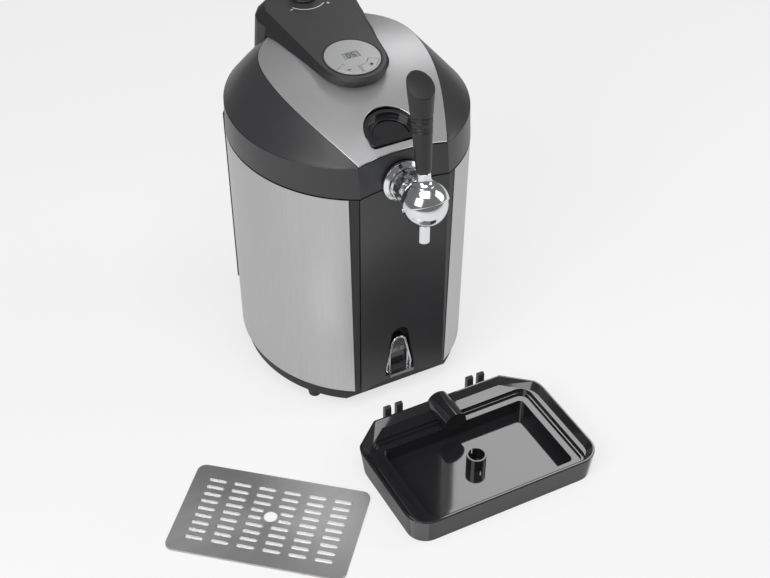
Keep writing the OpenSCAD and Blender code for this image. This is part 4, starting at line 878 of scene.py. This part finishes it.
class DISPENSER_OT_console(bpy.types.Operator):
    """Console with its display, button marks, knob and printed scale"""

    bl_idname = "dispenser.console"
    bl_label = "Console"

    def execute(self, context):
        shell = dressed("console", 1.1 * MM, smooth=30, segments=3)
        # Painted light and shade: faces that are not near level take the darker black plastic, so the flanks
        # look shaded beside the lighter grey face.
        second_finish(shell, "black_plastic", lambda face: face.normal.z <= 0.9)
        dressed("display_bezel", 0.3 * MM, segments=3)
        dressed("display_window", 0.2 * MM)
        for node in ("minus_button", "plus_button"):
            dressed(node, 0.3 * MM, segments=3)
        self.display()
        self.button_marks()
        self.knob()
        self.scale()
        return {"FINISHED"}

    def display(self):
        """Digits on the display and the dark ring round the disc."""
        low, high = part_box("display_window")
        middle_y = (low[1] + high[1]) / 2
        place = face_place(middle_y) @ Matrix.Translation((0, 0, 0.55 * MM))
        bars = []
        for digit, x in (("0", -3.2 * MM), ("5", 2.6 * MM)):
            bars += digit_bars(digit, x, 0, 6.4 * MM, 0.8 * MM, place)
        settle(joined("display_digits", bars), "lid", "lcd_glass", "mark_dark")
        low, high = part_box("display_bezel")
        disc_r = (high[0] - low[0]) / 2
        ring = [(disc_r + out, height) for out, height in millimetres(
            (2.2, -1.0), (2.3, 0.3), (1.8, 0.6), (0.5, 0.6), (0.15, 0.4), (0.1, -1.0), (2.2, -1.0),
        )]
        axis = (0, -math.sin(FACE_TILT), math.cos(FACE_TILT))
        centre = face_place((low[1] + high[1]) / 2).translation
        settle(lathe("display_ring", ring, centre, axis, 128), "lid", "rubber_black")

    def button_marks(self):
        """A minus and a plus on the two buttons."""
        low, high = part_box("display_bezel")
        place = face_place((low[1] + high[1]) / 2) @ Matrix.Translation((0, 0, 1.1 * MM))
        x, y = 13.4 * MM, -19.6 * MM
        bar, thick, half_post, off = 4.2 * MM, 1.0 * MM, 1.6 * MM, 1.3 * MM
        minus = stroke(place, -x, y, bar, thick)
        settle(joined("minus_mark", [minus]), "minus", "silver_paint", "mark_dark")
        cross = [stroke(place, x, y, bar, thick)]
        cross += [stroke(place, x, y + side * off, thick, half_post) for side in (1, -1)]
        settle(joined("plus_mark", cross), "plus", "silver_paint", "mark_dark")

    def knob(self):
        """Turned knob with a dished top, and grip ribs round it."""
        low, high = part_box("pressure_knob")
        radius = (high[0] - low[0]) / 2
        axis = Vector(JOINTS["knob_turn"]["axis"])
        profile = millimetres((0, -23), (4, -23), (4, 0.4))
        profile += [(radius - inset, height) for inset, height in millimetres(
            (0.6, 0.4), (0, 1.0), (0, 2.8), (0.6, 3.4), (1.6, 3.8), (2.6, 12.8), (3.1, 13.8), (4.2, 14.4),
            (5.6, 14.3), (6.6, 13.7),
        )]
        profile += millimetres((0, 13.2))
        settle(lathe("knob_shell", profile, KNOB_MIDDLE, axis, 96), "knob", "handle_black",
               nodes=["pressure_knob"])
        tree = Repeat("knob_ribs", [("Count", "NodeSocketInt")] + [
            (label, "NodeSocketFloat") for label in ("Ring Radius", "Rib Height", "Rib Radius", "Lean")
        ] + [("Material", "NodeSocketMaterial")])
        spots = tree.add("GeometryNodeMeshCircle", None,
                         {"Vertices": tree.value("Count"), "Radius": tree.value("Ring Radius")})
        rib = tree.add("GeometryNodeMeshCylinder", None,
                       {"Vertices": 8, "Radius": tree.value("Rib Radius"), "Depth": tree.value("Rib Height")})
        outward = tree.add("FunctionNodeAlignEulerToVector", {"axis": "X"},
                           {"Vector": tree.add("GeometryNodeInputPosition")})
        lean = tree.add("ShaderNodeCombineXYZ", None, {"Y": tree.value("Lean")})
        leaned = tree.add("FunctionNodeRotateEuler", {"space": "LOCAL"},
                          {"Rotation": outward, "Rotate By": lean})
        ribs = tree.add("GeometryNodeInstanceOnPoints", None,
                        {"Points": spots, "Instance": rib, "Rotation": leaned})
        tree.close(ribs)
        made = tree.run("knob_grip", {
            "Count": sizes().knob_ribs, "Ring Radius": radius - 2.1 * MM, "Rib Height": 8.2 * MM,
            "Rib Radius": 0.75 * MM, "Lean": -math.atan2(1.0, 9.0), "Material": FINISHES["handle_black"],
        })
        lift = Matrix.Translation((0, 0, 8 * MM))
        made.data.transform(Matrix.Translation(KNOB_MIDDLE) @ frame_along(axis) @ lift)
        made.data.shade_smooth()
        made.data.set_sharp_from_angle(angle=math.radians(50))
        settle(made, "knob", "handle_black")

    def scale(self):
        """Printed arc round the knob's front with a minus and a plus at its ends."""
        radius = sizes().scale_radius
        place = face_place(KNOB_MIDDLE.y)
        start, end, steps, half = 218, 309, 30, 0.5 * MM
        bar, thick = 3.6 * MM, 1.0 * MM
        outer = arc(radius + half, start, end, steps)
        inner = arc(radius - half, end, start, steps)
        line = prism("line", outer + inner, 0, sizes().mark_height, place)
        minus = stroke(place, -23.2 * MM, -19.4 * MM, bar, thick)
        spot = (20.6 * MM, -22.4 * MM)
        plus = stroke(place, *spot, bar, thick)
        post = stroke(place, *spot, thick, bar)
        settle(joined("pressure_scale", [line, minus, plus, post]), "lid", "console_grey", "mark_white")


# ---------- tap ----------


class DISPENSER_OT_tap(bpy.types.Operator):
    """Flange, collar, ball, saddle cap, spout and handle"""

    bl_idname = "dispenser.tap"
    bl_label = "Tap"

    ball_r = 24.7 * MM
    cap_in = 25.0 * MM
    cap_out = 26.4 * MM
    lean = math.radians(6)

    def execute(self, context):
        self.ball()
        self.cap()
        self.handle()
        self.spout()
        dressed("tap_flange", 0.6 * MM, segments=3)
        dressed("tap_collar", sizes().fine_edge)
        dressed("tap_pivot", 0.3 * MM)
        return {"FINISHED"}

    def ball(self):
        """Polished ball with a fine seam, on its shank with the hose barb behind."""
        seam = 96
        profile = []
        for height in range(0, 145):
            angle = math.radians(height * 180 / 144)
            radius = self.ball_r
            if seam - 1 <= height <= seam + 1:
                radius -= 0.25 * MM
            y = -self.ball_r * math.cos(angle)
            if y > 22.8 * MM:
                break
            profile.append((max(radius * math.sin(angle), 0), y))
        low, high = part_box("tap_body")
        back = high[1] - BALL_MIDDLE.y
        profile += millimetres((8, 22.9))
        profile += [(radius, back - before) for radius, before in millimetres(
            (8, 14), (5.5, 13.5), (5.5, 4), (6.4, 4), (5, 0), (0, 0),
        )]
        settle(lathe("tap_ball", profile, BALL_MIDDLE, (0, 1, 0), 96, 30), "housing", "chrome_parts",
               nodes=["tap_body"])

    def cap(self):
        """Saddle over the ball, its edges meeting at the pivots, with the handle's neck."""
        rows, columns = 48, 40
        start, end = math.radians(7), math.radians(173)
        front, behind = math.radians(-62), math.radians(50)
        vertices = []
        faces = []
        grid = {}
        for layer, radius in enumerate((self.cap_in, self.cap_out)):
            for i in range(rows + 1):
                polar = start + (end - start) * i / rows
                for j in range(columns + 1):
                    turn = front + (behind - front) * j / columns
                    edge = min(j, columns - j) == 0 and layer == 1
                    r = radius - (0.35 * MM if edge else 0)
                    grid[layer, i, j] = len(vertices)
                    vertices.append(BALL_MIDDLE + Vector((
                        -r * math.cos(polar),
                        r * math.sin(polar) * math.sin(turn),
                        r * math.sin(polar) * math.cos(turn),
                    )))
        for i in range(rows):
            for j in range(columns):
                faces.append([grid[1, i, j], grid[1, i + 1, j], grid[1, i + 1, j + 1], grid[1, i, j + 1]])
                faces.append([grid[0, i, j], grid[0, i, j + 1], grid[0, i + 1, j + 1], grid[0, i + 1, j]])
        for i in range(rows):
            for j in (0, columns):
                faces.append([grid[0, i, j], grid[0, i + 1, j], grid[1, i + 1, j], grid[1, i, j]])
        for j in range(columns):
            for i in (0, rows):
                faces.append([grid[0, i, j], grid[1, i, j], grid[1, i, j + 1], grid[0, i, j + 1]])
        saddle = new_piece("saddle", vertices, faces, 40)
        face_out(saddle)
        axis = (0, math.sin(self.lean), math.cos(self.lean))
        neck_profile = millimetres(
            (0, 24.9), (12.5, 24.9), (11.4, 25.5), (9.6, 26.5), (8.4, 28.0), (7.7, 30.0), (7.5, 32.0),
            (7.5, 37.6), (7.1, 38.0), (0, 38.0),
        )
        neck = lathe("neck", neck_profile, BALL_MIDDLE, axis, 64)
        settle(joined("tap_saddle", [saddle, neck]), "lever", "chrome_parts", nodes=["tap_cap"])

    def handle(self):
        """Turned handle, waisted at its foot, grooved, and cut off slanting at the top."""
        length, foot = 98.5 * MM, 38.0 * MM
        knots = [(0, 7.4), (0.05, 8.6), (0.2, 9.2), (0.4, 10.3), (0.52, 11.0), (0.64, 11.6), (0.8, 13.0),
                 (0.92, 14.1), (1.0, 14.4), (1.13, 14.6)]
        profile = [(0, foot), (6.6 * MM, foot)]
        steps = 150
        grooves = (0.505, 0.545, 0.62, 0.66)
        for i in range(steps + 1):
            share = 1.13 * i / steps
            k = next(n for n in range(len(knots) - 1) if share <= knots[n + 1][0] + 1e-9)
            (s0, r0), (s1, r1) = knots[k], knots[k + 1]
            radius = r0 + (r1 - r0) * (share - s0) / (s1 - s0)
            dip = sum(0.9 * math.exp(-((share - g) / 0.0085) ** 2) for g in grooves)
            profile.append(((radius - dip) * MM, foot + share * length))
        profile.append((0, foot + 1.13 * length))
        grip = lathe("handle", profile, (0, 0, 0), (0, 0, 1), 72)
        work = bmesh.new()
        work.from_mesh(grip.data)
        slope = math.radians(35)
        cut = bmesh.ops.bisect_plane(
            work, geom=work.verts[:] + work.edges[:] + work.faces[:], clear_outer=True,
            plane_co=(0, 0, foot + length), plane_no=(0, -math.sin(slope), math.cos(slope)),
        )
        rim = [e for e in cut["geom_cut"] if isinstance(e, bmesh.types.BMEdge)]
        bmesh.ops.contextual_create(work, geom=rim)
        rim = [e for e in rim if e.is_valid]
        bmesh.ops.bevel(work, geom=rim, offset=0.9 * MM, segments=3, profile=0.5, affect="EDGES")
        bmesh.ops.recalc_face_normals(work, faces=work.faces)
        work.to_mesh(grip.data)
        work.free()
        grip.data.set_sharp_from_angle(angle=math.radians(40))
        grip.data.transform(Matrix.Translation(BALL_MIDDLE) @ Matrix.Rotation(-self.lean, 4, "X"))
        settle(grip, "lever", "handle_black", nodes=["tap_handle"])

    def spout(self):
        """Short bored spout with a rounded mouth."""
        low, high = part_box("tap_spout")
        outer = (high[0] - low[0]) / 2
        bore = 4.5 * MM
        bottom = low[2] - BALL_MIDDLE.z
        top = high[2] - BALL_MIDDLE.z
        round_in, round_up = 0.5 * MM, 0.6 * MM
        profile = [
            (bore, top), (bore, bottom + round_up), (bore + round_in, bottom), (outer - round_in, bottom),
            (outer, bottom + round_up), (outer, top), (bore, top),
        ]
        settle(lathe("spout_shell", profile, BALL_MIDDLE, (0, 0, 1), 64), "housing", "chrome_parts",
               nodes=["tap_spout"])


# ---------- opener ----------


class DISPENSER_OT_opener(bpy.types.Operator):
    """Wall bottle opener with its bright rolled rim"""

    bl_idname = "dispenser.opener"
    bl_label = "Bottle Opener"

    rim_r = 1.5 * MM
    plate_t = 6 * MM
    top_r = 10.5 * MM
    throat = (11.2 * MM, 8.1 * MM, 24.9 * MM)

    def execute(self, context):
        dressed("bottle_opener", 0.5 * MM, "opener_steel", segments=3)
        dressed("opener_screws", 0.12 * MM)
        low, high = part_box("bottle_opener")
        foot = low[2] + 1 * MM
        self.rim(Vector(low), Vector(high), foot)
        half, bottom, top = self.throat
        outline = [(-half, bottom), (half, bottom), (half, top), (-half, top)]
        place = Matrix.Translation((0, high[1] - 1.65 * MM, foot)) @ Matrix.Rotation(math.pi / 2, 4, "X")
        settle(prism("opener_throat", outline, 0, 0.3 * MM, place), "housing", "gloss_black")
        posts = [
            tube("post", [(x, high[1] - self.plate_t, foot + z * MM) for z in (3.5, 12, 24)], 0.9 * MM)
            for x in (-half - 0.4 * MM, half + 0.4 * MM)
        ]
        settle(joined("opener_posts", posts), "housing", "chrome_parts")
        return {"FINISHED"}

    def rim(self, low, high, foot):
        """Rolled rim: up one side, over the round top, down, and bowed out over the lower lip."""
        half = high.x - self.rim_r
        plane = high.y - self.plate_t
        bow = plane - low.y - self.rim_r
        centre = high.z - self.top_r
        path = [(x, plane, centre + z) for x, z in arc(self.top_r - self.rim_r, 12, 168, 16)]
        path += [(-half, plane, foot + 8 * MM), (-half, plane, foot + 3 * MM)]
        for i in range(13):
            x = -half + 2 * half * i / 12
            path.append((x, plane - bow * (1 - (x / half) ** 2), foot + self.rim_r))
        path += [(half, plane, foot + 3 * MM), (half, plane, foot + 8 * MM)]
        settle(tube("opener_rim", path, self.rim_r, 12, True), "housing", "chrome_parts")


# ---------- tray and grate ----------


class DISPENSER_OT_tray(bpy.types.Operator):
    """Drip tray: satin outside, high gloss inside its lip"""

    bl_idname = "dispenser.tray"
    bl_label = "Drip Tray"

    half_depth = 83 * MM
    inner = (116.5 * MM, 80 * MM)
    under = 2 * MM

    def execute(self, context):
        tray = dressed("drip_tray", 0.6 * MM, "tray_satin", segments=3)
        low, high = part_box("drip_tray")
        middle = Vector(((low[0] + high[0]) / 2, low[1] + self.half_depth, 0))

        def is_inside(face):
            off = face.center - middle
            within = abs(off.x) < self.inner[0] and abs(off.y) < self.inner[1]
            return within and off.z > self.under and face.normal.z >= -0.5

        second_finish(tray, "gloss_black", is_inside)
        return {"FINISHED"}


class DISPENSER_OT_grate(bpy.types.Operator):
    """Grate with a pressed rim round every slot, the rims a brighter metal as a painted highlight"""

    bl_idname = "dispenser.grate"
    bl_label = "Grate"

    columns, rows = 6, 9
    pitch = (28.8 * MM, 10.63 * MM)
    slot = (19.8 * MM, 2.8 * MM)
    hole_off = 4.5 * MM

    def execute(self, context):
        dressed("drip_grate", sizes().fine_edge, "grate_steel")
        low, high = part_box("drip_grate")
        middle = Vector(((low[0] + high[0]) / 2, (low[1] + high[1]) / 2, high[2]))
        turn = Matrix.Translation(middle) @ Matrix.Rotation(-GRATE_TURN, 4, "Z")
        points = []
        lengths = []
        for c in range(self.columns):
            for r in range(self.rows):
                x = (c - (self.columns - 1) / 2) * self.pitch[0]
                y = ((self.rows - 1) / 2 - r) * self.pitch[1]
                near = abs(x) < self.pitch[0] and abs(y - self.hole_off) < 7.5 * MM
                short = 5 * MM if near else 0
                points.append((x + math.copysign(short / 2, x), y, 0))
                lengths.append((self.slot[0] - short) / self.slot[0])
        tree = Repeat("slot_rims", [
            ("Slot Length", "NodeSocketFloat"), ("Slot Width", "NodeSocketFloat"),
            ("Wire Radius", "NodeSocketFloat"), ("Material", "NodeSocketMaterial"),
        ])
        outline = tree.add("GeometryNodeCurvePrimitiveQuadrilateral", None,
                           {"Width": tree.value("Slot Length"), "Height": tree.value("Slot Width")})
        half = tree.add("ShaderNodeMath", {"operation": "MULTIPLY"}, {0: tree.value("Slot Width"), 1: 0.499})
        rounded = tree.add("GeometryNodeFilletCurve", {"mode": "POLY"},
                           {"Curve": outline, "Radius": half, "Count": 4})
        section = tree.add("GeometryNodeCurvePrimitiveCircle", None,
                           {"Resolution": 6, "Radius": tree.value("Wire Radius")})
        wire = tree.add("GeometryNodeCurveToMesh", None, {"Curve": rounded, "Profile Curve": section})
        share = tree.add("GeometryNodeInputNamedAttribute", {"data_type": "FLOAT"}, {"Name": "length_share"})
        scale = tree.add("ShaderNodeCombineXYZ", None, {"X": share, "Y": 1.0, "Z": 0.6})
        rims = tree.add("GeometryNodeInstanceOnPoints", None,
                        {"Points": tree.value("Geometry"), "Instance": wire, "Scale": scale})
        tree.close(rims)
        base = points_mesh("slot_spots", points, lengths)
        # The slot rims take the brighter polished metal, a painted highlight along the slot edges.
        made = tree.run("slot_rims", {
            "Slot Length": self.slot[0] + 0.7 * MM, "Slot Width": self.slot[1] + 0.7 * MM,
            "Wire Radius": sizes().rim_wire, "Material": FINISHES["edge_highlight_metal"],
        }, base)
        made.data.transform(turn)
        made.data.shade_smooth()
        settle(made, "grate", "steel_sheet", "edge_highlight_metal")
        return {"FINISHED"}


# ---------- add-on ----------


STEPS = (
    DISPENSER_OT_stage,
    DISPENSER_OT_body,
    DISPENSER_OT_rear,
    DISPENSER_OT_inside,
    DISPENSER_OT_lid,
    DISPENSER_OT_console,
    DISPENSER_OT_tap,
    DISPENSER_OT_opener,
    DISPENSER_OT_tray,
    DISPENSER_OT_grate,
)


class DISPENSER_PT_parts(bpy.types.Panel):
    """Lists the groups of pieces and their settings"""

    bl_idname = "DISPENSER_PT_parts"
    bl_label = "Drink Dispenser"
    bl_space_type = "VIEW_3D"
    bl_region_type = "UI"
    bl_category = "Dispenser"

    def draw(self, context):
        column = self.layout.column(align=True)
        for step in STEPS:
            column.operator(step.bl_idname)
        scene = context.scene
        for group in (scene.dispenser_sizes, scene.dispenser_colours, scene.dispenser_studio):
            for name in group.__annotations__:
                self.layout.prop(group, name)


CLASSES = (DispenserStudio, DispenserSizes, DispenserColours, *STEPS, DISPENSER_PT_parts)


def register():
    for cls in CLASSES:
        bpy.utils.register_class(cls)
    bpy.types.Scene.dispenser_studio = bpy.props.PointerProperty(type=DispenserStudio)
    bpy.types.Scene.dispenser_sizes = bpy.props.PointerProperty(type=DispenserSizes)
    bpy.types.Scene.dispenser_colours = bpy.props.PointerProperty(type=DispenserColours)


def unregister():
    del bpy.types.Scene.dispenser_colours
    del bpy.types.Scene.dispenser_sizes
    del bpy.types.Scene.dispenser_studio
    for cls in reversed(CLASSES):
        bpy.utils.unregister_class(cls)


def main():
    register()
    FINISHES.update(make_finishes())
    for step in STEPS:
        group, name = step.bl_idname.split(".")
        getattr(getattr(bpy.ops, group), name)()


if __name__ == "__main__":
    main()
